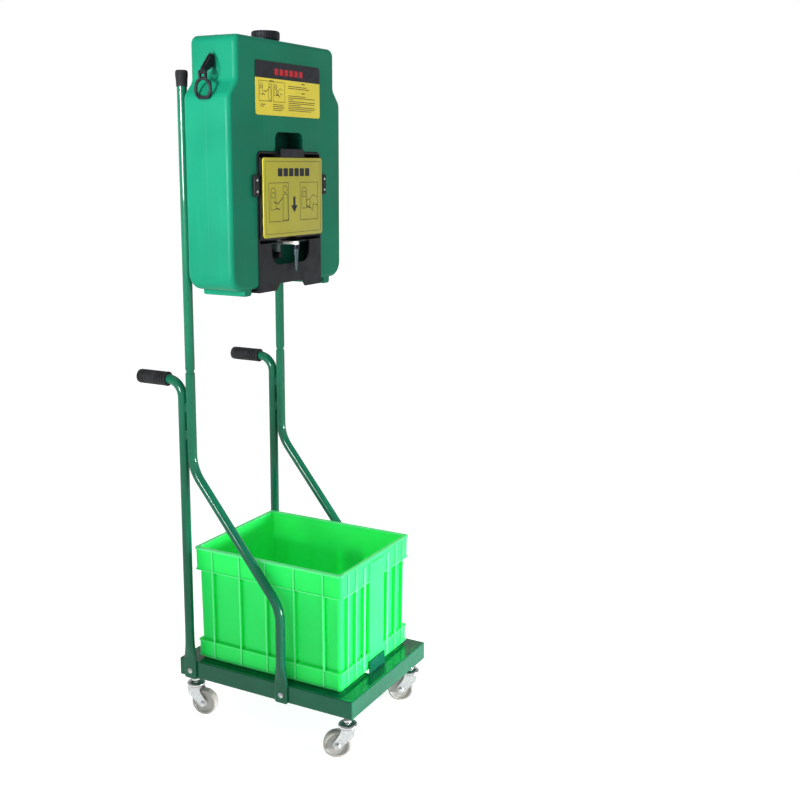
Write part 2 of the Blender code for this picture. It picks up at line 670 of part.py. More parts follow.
def build_tank():
    y0, y1 = TANK_Y
    mesh = bmesh.new()
    prism(mesh, tank_outline(0.0), "Y", y0, y1, bevel=0.010, bevel_steps=3)
    tank = finish("tank", mesh, TANK_GREEN, (0, (y0 + y1) / 2, TANK_LOW))

    feet = bmesh.new()
    for sign in (-1, 1):
        edges = sorted((sign * 0.148, sign * 0.176))
        outline = rounded(rectangle(edges[0], TANK_LOW - TANK_FOOT, edges[1], TANK_LOW + 0.010, 0.004), 2)
        prism(feet, outline, "Y", y0 + 0.004, y1 - 0.004)
    cut(tank, cutter("tank_feet", feet), "UNION")

    neck = bmesh.new()
    turned(neck, [(NECK_R, TANK_TOP - 0.003), (NECK_R, NECK_TOP)], (0, NECK_Y, 0), sides=24)
    cut(tank, cutter("tank_neck", neck), "UNION")

    bay = bmesh.new()
    prism(bay, recess_outline(), "Y", y0 - 0.03, RECESS_BACK)
    cut(tank, cutter("arm_bay", bay))

    pocket = bmesh.new()
    hanger_pocket(pocket, 0.0)
    cut(tank, cutter("hanger_pocket", pocket))

    cavity = bmesh.new()
    prism(cavity, tank_outline(TANK_WALL), "Y", y0 + TANK_WALL, y1 - TANK_WALL)
    hollow = cutter("water_space", cavity)
    grown = bmesh.new()
    prism(grown, recess_outline(TANK_WALL), "Y", y0 - 0.01, RECESS_BACK + TANK_WALL)
    cut(hollow, cutter("bay_walls", grown))
    walls = bmesh.new()
    hanger_pocket(walls, TANK_WALL)
    cut(hollow, cutter("pocket_walls", walls))
    cut(tank, hollow)

    bores = bmesh.new()
    turned(bores, [(NECK_BORE_R, TANK_TOP - 0.02), (NECK_BORE_R, NECK_TOP + 0.01)], (0, NECK_Y, 0), sides=24)
    for x, z, radius in ((-PIPE_X, OUTLET_Z, SPIGOT_R + GAP), (DRAIN_X, DRAIN_Z, 0.0035 + GAP)):
        turned(bores, [(radius, RECESS_BACK - 0.01), (radius, RECESS_BACK + 0.01)], (x, 0, z), (0, 1, 0), 12)
    cut(tank, cutter("tank_bores", bores))


def hanger_pocket(mesh, grow):
    """Mouth in the back wall, and a taller space behind a curtain that the hanger's lip goes up into."""
    x = POCKET_HALF_X + grow
    back = TANK_Y[1]
    if grow == 0:
        outline = [(back + 0.01, POCKET_Z[0]), (back + 0.01, POCKET_Z[1]), (back - CURTAIN, POCKET_Z[1]),
                   (back - CURTAIN, POCKET_ROOF), (POCKET_FRONT, POCKET_ROOF), (POCKET_FRONT, POCKET_Z[0])]
    else:
        outline = [(back + 0.01, POCKET_Z[0] - grow), (back + 0.01, POCKET_ROOF + grow),
                   (POCKET_FRONT - grow, POCKET_ROOF + grow), (POCKET_FRONT - grow, POCKET_Z[0] - grow)]
    prism(mesh, [Vector(p) for p in outline], "X", -x, x)


def build_label():
    mesh = bmesh.new()
    face = TANK_Y[0] - GAP
    outline = rounded(rectangle(-LABEL_HALF_X, LABEL_Z[0], LABEL_HALF_X, LABEL_Z[1], 0.006), 3)
    prism(mesh, outline, "Y", face - 0.0006, face)
    finish("instruction_label", mesh, LABEL_FILM, (0, face, sum(LABEL_Z) / 2))


def build_fill_cap():
    axis = (0, NECK_Y, 0)
    gasket = bmesh.new()
    sleeve(gasket, NECK_R - 0.0005, NECK_BORE_R + 0.0005, 0.0022, (0, NECK_Y, NECK_TOP + GAP))
    finish("cap_gasket", gasket, BLACK_RUBBER, axis)
    cap = bmesh.new()
    roof = NECK_TOP + 0.0022 + 2 * GAP
    low = TANK_TOP + 0.0060
    profile = [(0.004, roof), (NECK_R + 0.0008, roof), (NECK_R + 0.0008, low), (CAP_R - 0.0015, low),
               (CAP_R, low + 0.0015), (CAP_R, CAP_TOP - 0.003), (CAP_R - 0.003, CAP_TOP), (0.004, CAP_TOP)]
    turned(cap, profile, axis, sides=24)
    finish("fill_cap", cap, BLACK_PLASTIC, axis)
    tether = bmesh.new()
    low = TANK_TOP + 0.0030
    sleeve(tether, NECK_R + 0.0065, NECK_R + 0.0008, 0.0022, (0, NECK_Y, low), sides=24)
    strap = finish("cap_tether", tether, BLACK_PLASTIC, axis)
    pieces = bmesh.new()
    tab = rounded(rectangle(-NECK_R - 0.015, NECK_Y - 0.005, -NECK_R - 0.003, NECK_Y + 0.005, 0.002), 2)
    prism(pieces, tab, "Z", low + 0.0002, low + 0.0020)
    loop = loop_path(low + 0.0011)
    loft(pieces, [[(p.x, y, p.y) for p, y in ((a, NECK_Y - 0.0035), (b, NECK_Y - 0.0035),
                                              (b, NECK_Y + 0.0035), (a, NECK_Y + 0.0035))]
                  for a, b in loop])
    cut(strap, cutter("tether_loop", pieces), "UNION")


def loop_path(low):
    """Pairs of inner and outer points along the tether's loop, which curls up beside the cap."""
    centre = Vector((CAP_R + 0.0095, low + 0.0070))
    start = Vector((NECK_R + 0.004, low))
    pairs = [(start + Vector((0, 0.0008)), start - Vector((0, 0.0008)))]
    for k in range(10):
        angle = math.radians(-90 + 270 * k / 9)
        spoke = Vector((math.cos(angle), math.sin(angle)))
        pairs.append((centre + spoke * 0.0062, centre + spoke * 0.0078))
    return pairs


def build_carry_lug(sign):
    wall = TANK_HALF_X - SHOULDER_IN + GAP
    outline = [(wall, 1.536), (wall + 0.006, 1.540), (wall + 0.012, 1.534), (RING_X + 0.001, 1.508),
               (RING_X + 0.004, RING_PIVOT_Z), (RING_X, RING_PIVOT_Z - 0.004),
               (RING_X - 0.005, RING_PIVOT_Z - 0.001), (wall + 0.006, 1.512), (wall, 1.512)]
    mesh = bmesh.new()
    prism(mesh, [Vector((sign * u, v)) for u, v in outline], "Y", RING_Y - 0.005, RING_Y + 0.005)
    lug = finish(mirrored(sign, "carry_lug"), mesh, BLACK_PLASTIC, (sign * wall, RING_Y, 1.524))
    pin = bmesh.new()
    turned(pin, [(0.002, RING_Y - 0.011), (0.002, RING_Y + 0.011)],
           (sign * RING_X, 0, RING_PIVOT_Z), (0, 1, 0), 12)
    cut(lug, cutter(mirrored(sign, "lug_pin"), pin), "UNION")


def build_carry_ring(sign):
    """Flat-footed ring under a two-pronged yoke that turns on the lug's pin."""
    mesh = bmesh.new()
    half_x = 0.0030
    x0, x1 = sign * RING_X - half_x, sign * RING_X + half_x
    centre = Vector((RING_Y, RING_PIVOT_Z - 0.034))
    outer, inner = [], []
    for k in range(20):
        angle = math.tau * k / 20
        spoke = Vector((math.cos(angle), math.sin(angle)))
        out = centre + Vector((spoke.x * 0.0220, spoke.y * 0.0245))
        hole = centre + Vector((spoke.x * 0.0160, spoke.y * 0.0180))
        out.y, hole.y = max(out.y, centre.y - 0.021), max(hole.y, centre.y - 0.0135)
        outer.append(out)
        inner.append(hole)
    rings = [[(x, p.x, p.y) for p in line] for line, x in
             ((outer, x0), (outer, x1), (inner, x1), (inner, x0))]
    loft(mesh, rings, closed=True)
    ring = finish(mirrored(sign, "carry_ring"), mesh, BLACK_PLASTIC, (sign * RING_X, RING_Y, RING_PIVOT_Z))
    prongs = bmesh.new()
    for side in (-1, 1):
        near, far = sorted((RING_Y + side * (0.005 + GAP), RING_Y + side * 0.0095))
        outline = rounded([(sign * RING_X - half_x, RING_PIVOT_Z - 0.014, 0),
                           (sign * RING_X + half_x, RING_PIVOT_Z - 0.014, 0),
                           (sign * RING_X + 0.0042, RING_PIVOT_Z + 0.0042, 0.0035),
                           (sign * RING_X - 0.0042, RING_PIVOT_Z + 0.0042, 0.0035)], 3)
        prism(prongs, outline, "Y", near, far)
    cut(ring, cutter(mirrored(sign, "prongs"), prongs), "UNION")
    hole = bmesh.new()
    turned(hole, [(0.002 + GAP, RING_Y - 0.02), (0.002 + GAP, RING_Y + 0.02)],
           (sign * RING_X, 0, RING_PIVOT_Z), (0, 1, 0), 12)
    cut(ring, cutter(mirrored(sign, "ring_hole"), hole))


# ---- Spray arm ----------------------------------------------------------------------------------
def build_arm_frame():
    """Housing in the tank's bay: side walls, a roof, a back plate and an apron with a U-shaped mouth."""
    back = RECESS_BACK - 0.0015
    x, wall = FRAME_HALF_X, FRAME_WALL
    shell = bmesh.new()
    outline = rounded([(-x, FRAME_LOW, 0), (x, FRAME_LOW, 0), (x, FRAME_TOP, 0.011),
                       (-x, FRAME_TOP, 0.011)], 3)
    prism(shell, outline, "Y", FRAME_FRONT, back)
    frame = finish("arm_frame", shell, BLACK_PLASTIC, (0, HINGE_Y, HINGE_Z))
    space = bmesh.new()
    inner = rounded([(-x + wall, APRON_TOP, 0), (x - wall, APRON_TOP, 0),
                     (x - wall, FRAME_TOP - wall, 0.008), (-x + wall, FRAME_TOP - wall, 0.008)], 3)
    prism(space, inner, "Y", FRAME_FRONT - 0.01, back - 0.003)
    cut(frame, cutter("arm_space", space))
    for name, half, top in (("behind_apron", x - wall, APRON_TOP - 0.004), ("behind_union", 0.026, 1.190)):
        behind = bmesh.new()
        box(behind, (-half, FRAME_FRONT + APRON_THICK, FRAME_LOW - 0.01), (half, back + 0.01, top))
        cut(frame, cutter(name, behind))
    mouth = bmesh.new()
    far = FRAME_FRONT + APRON_THICK + 0.001
    opening = rounded([(-MOUTH_HALF_X, APRON_TOP + 0.01, 0), (-MOUTH_HALF_X, MOUTH_LOW, 0.030),
                       (MOUTH_HALF_X, MOUTH_LOW, 0.030), (MOUTH_HALF_X, APRON_TOP + 0.01, 0)], 5)
    prism(mouth, opening, "Y", FRAME_FRONT - 0.01, far)
    notch = rounded([(-0.066, FRAME_LOW - 0.01, 0), (0.066, FRAME_LOW - 0.01, 0),
                     (0.048, FRAME_LOW + 0.015, 0.006), (-0.048, FRAME_LOW + 0.015, 0.006)], 2)
    prism(mouth, notch, "Y", FRAME_FRONT - 0.01, far)
    cut(frame, cutter("apron_mouth", mouth))
    cut(frame, pin_hole("frame_pin_hole"))


def pin_hole(name, radius=PIN_R + GAP):
    mesh = bmesh.new()
    turned(mesh, [(radius, -0.2), (radius, 0.2)], (0, HINGE_Y, HINGE_Z), (1, 0, 0), 12)
    return cutter(name, mesh)


def build_hinge_pin():
    mesh = bmesh.new()
    half = FRAME_HALF_X - 0.001
    turned(mesh, [(PIN_R, -half), (PIN_R, half)], (0, HINGE_Y, HINGE_Z), (1, 0, 0), 12)
    finish("hinge_pin", mesh, ZINC, (0, HINGE_Y, HINGE_Z))


def build_brackets():
    """Clips on the tank's face beside the housing."""
    face = TANK_Y[0] - GAP
    for sign in (-1, 1):
        mesh = bmesh.new()
        edges = sorted((sign * (RECESS_HALF_X + GAP), sign * (RECESS_HALF_X + 0.018)))
        outline = rounded(rectangle(edges[0], BRACKET_Z - 0.023, edges[1], BRACKET_Z + 0.023, 0.004), 3)
        prism(mesh, outline, "Y", face - 0.007, face, bevel=0.0015)
        finish(mirrored(sign, "frame_bracket"), mesh, BLACK_PLASTIC, (edges[0], face, BRACKET_Z))


def build_arm_tray():
    """Shallow tray, open towards the tank, with a rounded hinge edge at its foot."""
    barrel = (ARM_BACK - ARM_FRONT) / 2
    mesh = bmesh.new()
    foot, bend = HINGE_Z - barrel, barrel * 0.995
    outline = rounded([(ARM_FRONT, foot, bend), (ARM_BACK, foot, bend), (ARM_BACK, ARM_TOP, 0.002),
                       (ARM_FRONT, ARM_TOP, 0.003)], 5)
    prism(mesh, outline, "X", -ARM_HALF_X, ARM_HALF_X)
    tray = finish("arm_tray", mesh, BLACK_PLASTIC, (0, HINGE_Y, HINGE_Z))
    space = bmesh.new()
    half = ARM_HALF_X - ARM_WALL
    inner = rounded(rectangle(-half, HINGE_Z + barrel + 0.002, half, ARM_TOP - ARM_WALL, 0.005), 3)
    prism(space, inner, "Y", ARM_FRONT + ARM_WALL, ARM_BACK + 0.01)
    cut(tray, cutter("arm_hollow", space))
    latch = bmesh.new()
    front, low, high = ARM_FRONT - GAP - COVER_THICK, ARM_TOP + GAP, ARM_TOP + LATCH_TALL
    outline = [(front, low), (ARM_FRONT + 0.0005, low), (ARM_FRONT + 0.008, ARM_TOP - 0.002),
               (ARM_FRONT + 0.023, ARM_TOP - 0.002), (ARM_FRONT + 0.023, ARM_TOP + 0.002),
               (ARM_FRONT + 0.0025, ARM_TOP + 0.002), (ARM_FRONT + 0.0015, high), (front, high)]
    prism(latch, [Vector(p) for p in outline], "X", -LATCH_HALF_X, LATCH_HALF_X)
    cut(tray, cutter("latch_tab", latch), "UNION")
    notch = bmesh.new()
    box(notch, (-UNION_HALF_X, ARM_FRONT + ARM_WALL, HINGE_Z - 0.03),
        (UNION_HALF_X, ARM_BACK + 0.01, HINGE_Z + barrel + 0.006))
    cut(tray, cutter("union_notch", notch))
    relief = bmesh.new()
    box(relief, (-PIPE_X - HOSE_R - 0.0015, ARM_FRONT - 0.01, HINGE_Z - 0.03),
        (-PIPE_X + HOSE_R + 0.0015, ARM_BACK + 0.01, HINGE_Z - 0.006))
    cut(tray, cutter("hose_relief", relief))
    cut(tray, pin_hole("arm_pin_hole"))


def build_arm_cover():
    mesh = bmesh.new()
    face = ARM_FRONT - GAP
    outline = rounded(rectangle(-COVER_HALF_X, COVER_LOW, COVER_HALF_X, ARM_TOP, 0.006), 3)
    prism(mesh, outline, "Y", face - COVER_THICK, face, bevel=0.0008, bevel_steps=1)
    finish("arm_cover", mesh, YELLOW_PLASTIC, (0, HINGE_Y, HINGE_Z))


def build_arm_waterway():
    """Manifold, its riser and the arm's half of the union, and the two spray heads."""
    mesh = bmesh.new()
    reach = NOZZLE_X + 0.010
    turned(mesh, [(0.0060, -reach), (0.0060, reach)], (0, HINGE_Y, NOZZLE_Z), (1, 0, 0), 14)
    manifold = finish("spray_manifold", mesh, GREY_RUBBER, (0, HINGE_Y, HINGE_Z))
    riser = bmesh.new()
    turned(riser, [(0.0050, HINGE_Z), (0.0050, NOZZLE_Z)], (PIPE_X, HINGE_Y, 0), sides=14)
    cut(manifold, cutter("riser", riser), "UNION")
    knuckle = bmesh.new()
    turned(knuckle, [(UNION_R, 0.0008), (UNION_R, UNION_END)], (0, HINGE_Y, HINGE_Z), (1, 0, 0), 16)
    cut(manifold, cutter("riser_knuckle", knuckle), "UNION")
    cut(manifold, pin_hole("manifold_pin_hole"))
    for sign in (-1, 1):
        head = bmesh.new()
        turned(head, [(0.0045, 0.0063), (0.0045, 0.0100), (0.0120, 0.0140), (0.0140, 0.0180),
                      (0.0140, 0.0240), (0.0120, 0.0252)],
               (sign * NOZZLE_X, HINGE_Y, NOZZLE_Z), (0, 1, 0), 20)
        finish(mirrored(sign, "spray_head"), head, WHITE_PLASTIC, (sign * NOZZLE_X, HINGE_Y, NOZZLE_Z))


def build_tank_waterway():
    """The tank's half of the union, the hose that feeds it, and the outlet elbow."""
    drop = math.radians(FEED_DROP_DEG)
    feed = (0, math.cos(drop), -math.sin(drop))
    centre = (-PIPE_X, HINGE_Y, HINGE_Z)
    mesh = bmesh.new()
    turned(mesh, [(UNION_R, -UNION_END), (UNION_R, -0.0008)], (0, HINGE_Y, HINGE_Z), (1, 0, 0), 16)
    union = finish("feed_union", mesh, BLACK_PLASTIC, (0, HINGE_Y, HINGE_Z))
    spigot = bmesh.new()
    turned(spigot, [(SPIGOT_R, 0.0), (SPIGOT_R, 0.015)], centre, feed, 14)
    cut(union, cutter("feed_spigot", spigot), "UNION")
    cut(union, pin_hole("union_pin_hole"))

    elbow = bmesh.new()
    wall = RECESS_BACK - GAP
    turned(elbow, [(0.0040, HOSE_Y - 0.008), (0.0080, HOSE_Y - 0.007), (0.0080, wall - 0.004),
                   (0.0115, wall - 0.004), (0.0115, wall), (SPIGOT_R, wall), (SPIGOT_R, wall + 0.007)],
           (-PIPE_X, 0, OUTLET_Z), (0, 1, 0), 18)
    outlet = finish("outlet_elbow", elbow, BLACK_PLASTIC, (-PIPE_X, RECESS_BACK, OUTLET_Z))
    riser = bmesh.new()
    turned(riser, [(SPIGOT_R, OUTLET_Z), (SPIGOT_R, OUTLET_Z + 0.024)], (-PIPE_X, HOSE_Y, 0), sides=14)
    cut(outlet, cutter("outlet_riser", riser), "UNION")

    along = Vector((math.cos(drop), -math.sin(drop)))
    start = Vector((HINGE_Y, HINGE_Z)) + along * 0.0090
    corner = Vector((HINGE_Y, HINGE_Z)) + along * ((HOSE_Y - HINGE_Y) / along.x)
    low = OUTLET_Z + 0.0085
    path = bent_path([tuple(start), tuple(corner), (HOSE_Y, low)], 0.012, 5)
    hose = bmesh.new()
    outer = tube_rings(path, -PIPE_X, HOSE_R)
    inner = tube_rings(path, -PIPE_X, (SPIGOT_R + GAP) / math.cos(math.pi / TUBE_SIDES))
    loft(hose, outer + inner[::-1], closed=True)
    finish("feed_hose", hose, GREY_RUBBER, (-PIPE_X, HOSE_Y, low))


def build_drain():
    """A spout through the tank's wall, its down-turned head, and the flat sleeve that hangs from it."""
    wall = RECESS_BACK - GAP
    spout = bmesh.new()
    turned(spout, [(0.0033, -0.007), (0.0033, 0.0), (0.0060, 0.0), (0.0060, 0.003), (0.0040, 0.003),
                   (0.0040, wall - DRAIN_Y)], (DRAIN_X, wall, DRAIN_Z), (0, -1, 0), 14)
    drain = finish("drain_spout", spout, WHITE_PLASTIC, (DRAIN_X, wall, DRAIN_Z))
    head = bmesh.new()
    head_low, head_top = DRAIN_Z + 0.0042 - DRAIN_HEAD, DRAIN_Z + 0.0042
    turned(head, [(0.0062, head_low), (0.0068, head_low + 0.001), (0.0068, head_top - 0.001),
                  (0.0060, head_top)], (DRAIN_X, DRAIN_Y, 0), sides=14)
    cut(drain, cutter("drain_head", head), "UNION")
    top = head_low - GAP
    rings = []
    for share, half_x, half_y in ((0.0, 0.0068, 0.0056), (0.17, 0.0070, 0.0046), (0.60, 0.0050, 0.0028),
                                  (1.0, 0.0016, 0.0012)):
        ring = []
        for k in range(14):
            angle = math.tau * k / 14
            ring.append((DRAIN_X + half_x * math.cos(angle), DRAIN_Y + half_y * math.sin(angle),
                         top - SLEEVE_TALL * share))
        rings.append(ring)
    strip = bmesh.new()
    loft(strip, rings)
    finish("drain_sleeve", strip, GREY_RUBBER, (DRAIN_X, DRAIN_Y, top))


def main():
    clear_scene()
    build_tray()
    build_caster_rails()
    build_foot_bolts()
    for sign in (-1, 1):
        build_handle_tube(sign)
        build_front_tube(sign)
        build_upper_post(sign)
        build_post_cap(sign)
        build_grip(sign)
    build_crossbars()
    build_hanger()
    for name, (x, y) in caster_places().items():
        build_caster(name, x, y)
    build_crate()
    build_tank()
    build_label()
    build_fill_cap()
    for sign in (-1, 1):
        build_carry_lug(sign)
        build_carry_ring(sign)
    build_arm_frame()
    build_hinge_pin()
    build_brackets()
    build_arm_tray()
    build_arm_cover()
    build_arm_waterway()
    build_tank_waterway()
    build_drain()


main()
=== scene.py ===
"""Looks of the portable eyewash station: finer shells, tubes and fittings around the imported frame, its
printed panels, procedural materials, a plain studio and the camera. Metres, +Z up, front towards -Y."""
import json
import math

import bmesh
import bpy
from mathutils import Matrix, Vector


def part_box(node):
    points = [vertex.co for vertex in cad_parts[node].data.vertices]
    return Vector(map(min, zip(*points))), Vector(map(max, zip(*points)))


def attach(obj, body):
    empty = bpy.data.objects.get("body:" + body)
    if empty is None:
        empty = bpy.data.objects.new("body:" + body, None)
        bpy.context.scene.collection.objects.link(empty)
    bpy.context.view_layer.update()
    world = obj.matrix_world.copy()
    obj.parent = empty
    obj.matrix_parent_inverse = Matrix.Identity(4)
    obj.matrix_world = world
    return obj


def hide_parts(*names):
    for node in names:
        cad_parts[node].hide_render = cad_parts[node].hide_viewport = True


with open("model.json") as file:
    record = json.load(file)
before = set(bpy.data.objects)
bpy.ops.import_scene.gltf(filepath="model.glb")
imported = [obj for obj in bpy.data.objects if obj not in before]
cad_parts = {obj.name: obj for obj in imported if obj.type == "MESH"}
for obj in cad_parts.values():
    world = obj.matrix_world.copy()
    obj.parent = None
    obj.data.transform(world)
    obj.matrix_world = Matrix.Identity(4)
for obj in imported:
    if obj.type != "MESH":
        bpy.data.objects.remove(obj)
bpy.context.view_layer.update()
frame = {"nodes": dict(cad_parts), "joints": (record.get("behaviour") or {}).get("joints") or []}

SIDES = {"left": -1, "right": 1}
CASTERS = ("front_left", "front_right", "rear_left", "rear_right")


# ---- Places, read from the frame ----
def lowest(node):
    return Vector(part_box(node)[0])


def highest(node):
    return Vector(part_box(node)[1])


def span(node):
    return lowest(node), highest(node)


def middle(node):
    return (lowest(node) + highest(node)) / 2


def joint_named(name):
    return next(joint for joint in frame["joints"] if joint["name"] == name)


def pivot_of(joint):
    return Vector(joint_named(joint)["pos_m"])


GAP = 0.0003  # between faces of two pieces that meet
POST_X = middle("right_upper_post").x
POST_Y = middle("right_upper_post").y
POST_TOP = highest("right_upper_post").z
SLEEVE_TOP = highest("right_front_tube").z
TUBE_R = highest("right_upper_post").x - POST_X
TUBE_WALL = 0.0015
FOOT_LOW = lowest("right_handle_tube").z
FOOT_HALF = 0.017  # flattened foot, along Y
FOOT_THIN = 0.0025  # flattened foot, half along X
FOOT_END = 0.212  # height from which the tube is round
HANDLE_Y = lowest("right_handle_tube").y + FOOT_HALF
HANDLE_TOP = middle("right_grip").z
HANDLE_BEND = 0.038
FRONT_FOOT_Y = lowest("right_front_tube").y + FOOT_HALF
LOW_BEND_Z, HIGH_BEND_Z, FRONT_BEND = 0.327, 0.6215, 0.096
WELD_HEIGHTS = (0.700, 0.764)
TRAY_TOP = 0.1454
BOLT_Z = middle("right_front_foot_bolt").z

TANK_LOW, TANK_HIGH = span("tank")
TANK_HALF_X = TANK_HIGH.x
TANK_FRONT, TANK_BACK = TANK_LOW.y, TANK_HIGH.y
NECK_TOP = TANK_HIGH.z
TANK_TOP = NECK_TOP - 0.017
TANK_FOOT = 0.014
TANK_BASE = TANK_LOW.z + TANK_FOOT
SHOULDER_IN = 0.028
SHOULDER_Z = (1.453, 1.484)
NECK_Y = middle("cap_gasket").y
NECK_R = 0.024
NECK_BORE = 0.020
BAY_HALF_X, BAY_TOP, BAY_BACK = 0.128, 1.340, 0.022
FINGER_HALF_X, FINGER_TOP = 0.056, 1.382
POCKET_HALF_X, POCKET_FRONT, POCKET_LOW = 0.065, 0.078, 1.385
POCKET_MOUTH, POCKET_HIGH = 1.437, 1.460

CRATE_LOW, CRATE_HIGH = span("crate")
CRATE_RIB_PROUD = 0.0008
CRATE_X = CRATE_HIGH.x - CRATE_RIB_PROUD
CRATE_FRONT, CRATE_REAR = CRATE_LOW.y + CRATE_RIB_PROUD, CRATE_HIGH.y - CRATE_RIB_PROUD
CRATE_TALL = CRATE_HIGH.z - CRATE_LOW.z
CRATE_TAPER = 0.003
CRATE_WALL = 0.011  # inner face, in from the bands


# ---- Outlines ----
def turns(count):
    """Even steps round a full turn."""
    return [math.tau * k / count for k in range(count)]


def squared(turn, power):
    """Cosine and sine, drawn out towards the corners of a square by a power below 1."""
    return [math.copysign(abs(part) ** power, part) for part in (math.cos(turn), math.sin(turn))]


def oval(centre, half_x, half_y, count):
    """A level oval ring."""
    x, y, z = centre
    return [(x + half_x * math.cos(turn), y + half_y * math.sin(turn), z) for turn in turns(count)]


def rounded(corners, steps=6):
    """Outline whose corners (u, v, radius) are rounded by arcs."""
    points = []
    count = len(corners)
    for i, (u, v, radius) in enumerate(corners):
        here = Vector((u, v))
        if radius <= 0:
            points.append(here)
            continue
        back = (Vector(corners[i - 1][:2]) - here).normalized()
        ahead = (Vector(corners[(i + 1) % count][:2]) - here).normalized()
        half = back.angle(ahead) / 2
        centre = here + (back + ahead).normalized() * radius / math.sin(half)
        reach = radius / math.tan(half)
        first, last = here + back * reach - centre, here + ahead * reach - centre
        turn = math.atan2(first.cross(last), first.dot(last))
        for k in range(steps + 1):
            spoke = first.copy()
            spoke.rotate(Matrix.Rotation(turn * k / steps, 2))
            points.append(centre + spoke)
    return points


def rectangle(u0, v0, u1, v1, radius=0.0):
    return [(u0, v0, radius), (u1, v0, radius), (u1, v1, radius), (u0, v1, radius)]


def both_halves(right, steps):
    """Rounded outline from its right half and the mirror of it."""
    return rounded(right + [(-u, v, radius) for u, v, radius in reversed(right)], steps)


def eased_ends(low, high, edge, arc):
    """(place, inset) through a thickness whose two faces have rounded edges: the near and the far end."""
    near = []
    for k in range(arc + 1):
        angle = math.pi / 2 * k / arc
        near.append((low + edge * (1 - math.cos(angle)), edge * (1 - math.sin(angle))))
    return near, [(high - (place - low), inset) for place, inset in reversed(near)]


# ---- Mesh helpers: each gives back a new mesh, or adds to the one it is given ----
PLANES = {"X": lambda u, v, w: (w, u, v), "Y": lambda u, v, w: (u, w, v), "Z": lambda u, v, w: (u, v, w)}


def loft(rings, closed=False, mesh=None):
    """Skin over rings of equal length, capped unless the last ring meets the first."""
    mesh = bmesh.new() if mesh is None else mesh
    rows = [[mesh.verts.new(point) for point in ring] for ring in rings]
    count = len(rows[0])
    for low, high in zip(rows, rows[1:] + rows[:1] if closed else rows[1:]):
        for i in range(count):
            j = (i + 1) % count
            mesh.faces.new((low[i], low[j], high[j], high[i]))
    if not closed:
        mesh.faces.new(rows[0])
        mesh.faces.new(rows[-1])
    return mesh


def turned(profile, base, axis=(0, 0, 1), sides=40, closed=False, wobble=None, mesh=None):
    """Turn (radius, height) points about an axis; wobble(turn, height) can add to the radius."""
    axis = Vector(axis).normalized()
    helper = Vector((0, 0, 1)) if abs(axis.z) < 0.9 else Vector((0, 1, 0))
    across = helper.cross(axis).normalized()
    other = axis.cross(across)
    rings = []
    for radius, height in profile:
        centre = Vector(base) + axis * height
        ring = []
        for i, turn in enumerate(turns(sides)):
            spoke = across * math.cos(turn) + other * math.sin(turn)
            ring.append(centre + spoke * (radius + (wobble(i, height) if wobble else 0.0)))
        rings.append(ring)
    return loft(rings, closed, mesh)


def bore(radius, base, axis, reach, sides=20):
    """A plain rod to drill with, reaching as far on both sides of its base."""
    return turned([(radius, -reach), (radius, reach)], base, axis, sides)


def prism(outline, along, low, high, mesh=None):
    place = PLANES[along]
    return loft([[place(p[0], p[1], w) for p in outline] for w in (low, high)], mesh=mesh)


def pillow(corners, along, low, high, edge, steps=6, arc=3):
    """A prism whose two end faces have a rounded edge; corners are (u, v, radius)."""
    centre = Vector((sum(c[0] for c in corners), sum(c[1] for c in corners))) / len(corners)
    full = rounded(corners, steps)
    near, far = eased_ends(low, high, edge, arc)
    rings = []
    for w, inset in near + far:
        ring = []
        for i, point in enumerate(full):
            along_edge = (full[(i + 1) % len(full)] - full[i - 1]).normalized()
            inward = Vector((-along_edge.y, along_edge.x))
            if inward.dot(centre - point) < 0:
                inward = -inward
            moved = point + inward * inset
            ring.append(PLANES[along](moved.x, moved.y, w))
        rings.append(ring)
    return loft(rings)


def object_of(name, mesh, smooth_deg=35):
    bmesh.ops.recalc_face_normals(mesh, faces=mesh.faces)
    data = bpy.data.meshes.new(name)
    mesh.to_mesh(data)
    mesh.free()
    data.shade_smooth()
    data.set_sharp_from_angle(angle=math.radians(smooth_deg))
    item = bpy.data.objects.new(name, data)
    bpy.context.scene.collection.objects.link(item)
    return item


def carve(mesh, add=(), cut=()):
    """Join meshes to a mesh, then cut others out of it, and give back one mesh."""
    item = object_of("carving", mesh)
    tools = []
    for operation, others in (("UNION", add), ("DIFFERENCE", cut)):
        for other in others:
            step = item.modifiers.new("step", "BOOLEAN")
            step.operation = operation
            step.object = object_of("tool", other)
            step.solver = "EXACT"
            tools.append(step.object)
    result = bmesh.new()
    graph = bpy.context.evaluated_depsgraph_get()
    data = bpy.data.meshes.new_from_object(item.evaluated_get(graph))
    result.from_mesh(data)
    bpy.data.meshes.remove(data)
    for extra in tools + [item]:
        bpy.data.objects.remove(extra, do_unlink=True)
    return result


# ---- Pieces ----
def add_bevel(item, width, segments=2):
    edge = item.modifiers.new("edge", "BEVEL")
    edge.width = width
    edge.segments = segments
    edge.limit_method = "ANGLE"
    edge.angle_limit = math.radians(40)
    edge.harden_normals = True


def piece(name, mesh, body, finish, slot, replaces=(), smooth_deg=35, bevel=0.0, segments=2):
    """A finished piece: shaded, painted, riding on its body and standing for its CAD nodes."""
    item = object_of(name, mesh, smooth_deg)
    item.data.materials.append(finish)
    if bevel:
        add_bevel(item, bevel, segments)
    if replaces:
        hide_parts(*replaces)
    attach(item, body)
    return item


def fine(node, mesh, body, finish, slot, **options):
    """The finer shape that stands for one CAD node."""
    return piece(node + "_fine", mesh, body, finish, slot, [node], **options)


def soften(width, *nodes, segments=2):
    """CAD nodes in their own shape, with their split corners joined and their edges eased."""
    for node in nodes:
        item = frame["nodes"][node]
        weld = item.modifiers.new("weld", "WELD")
        weld.merge_threshold = 0.00001
        add_bevel(item, width, segments)


def repaint(finish, *nodes):
    for node in nodes:
        slots = frame["nodes"][node].data.materials
        slots.clear()
        slots.append(finish)


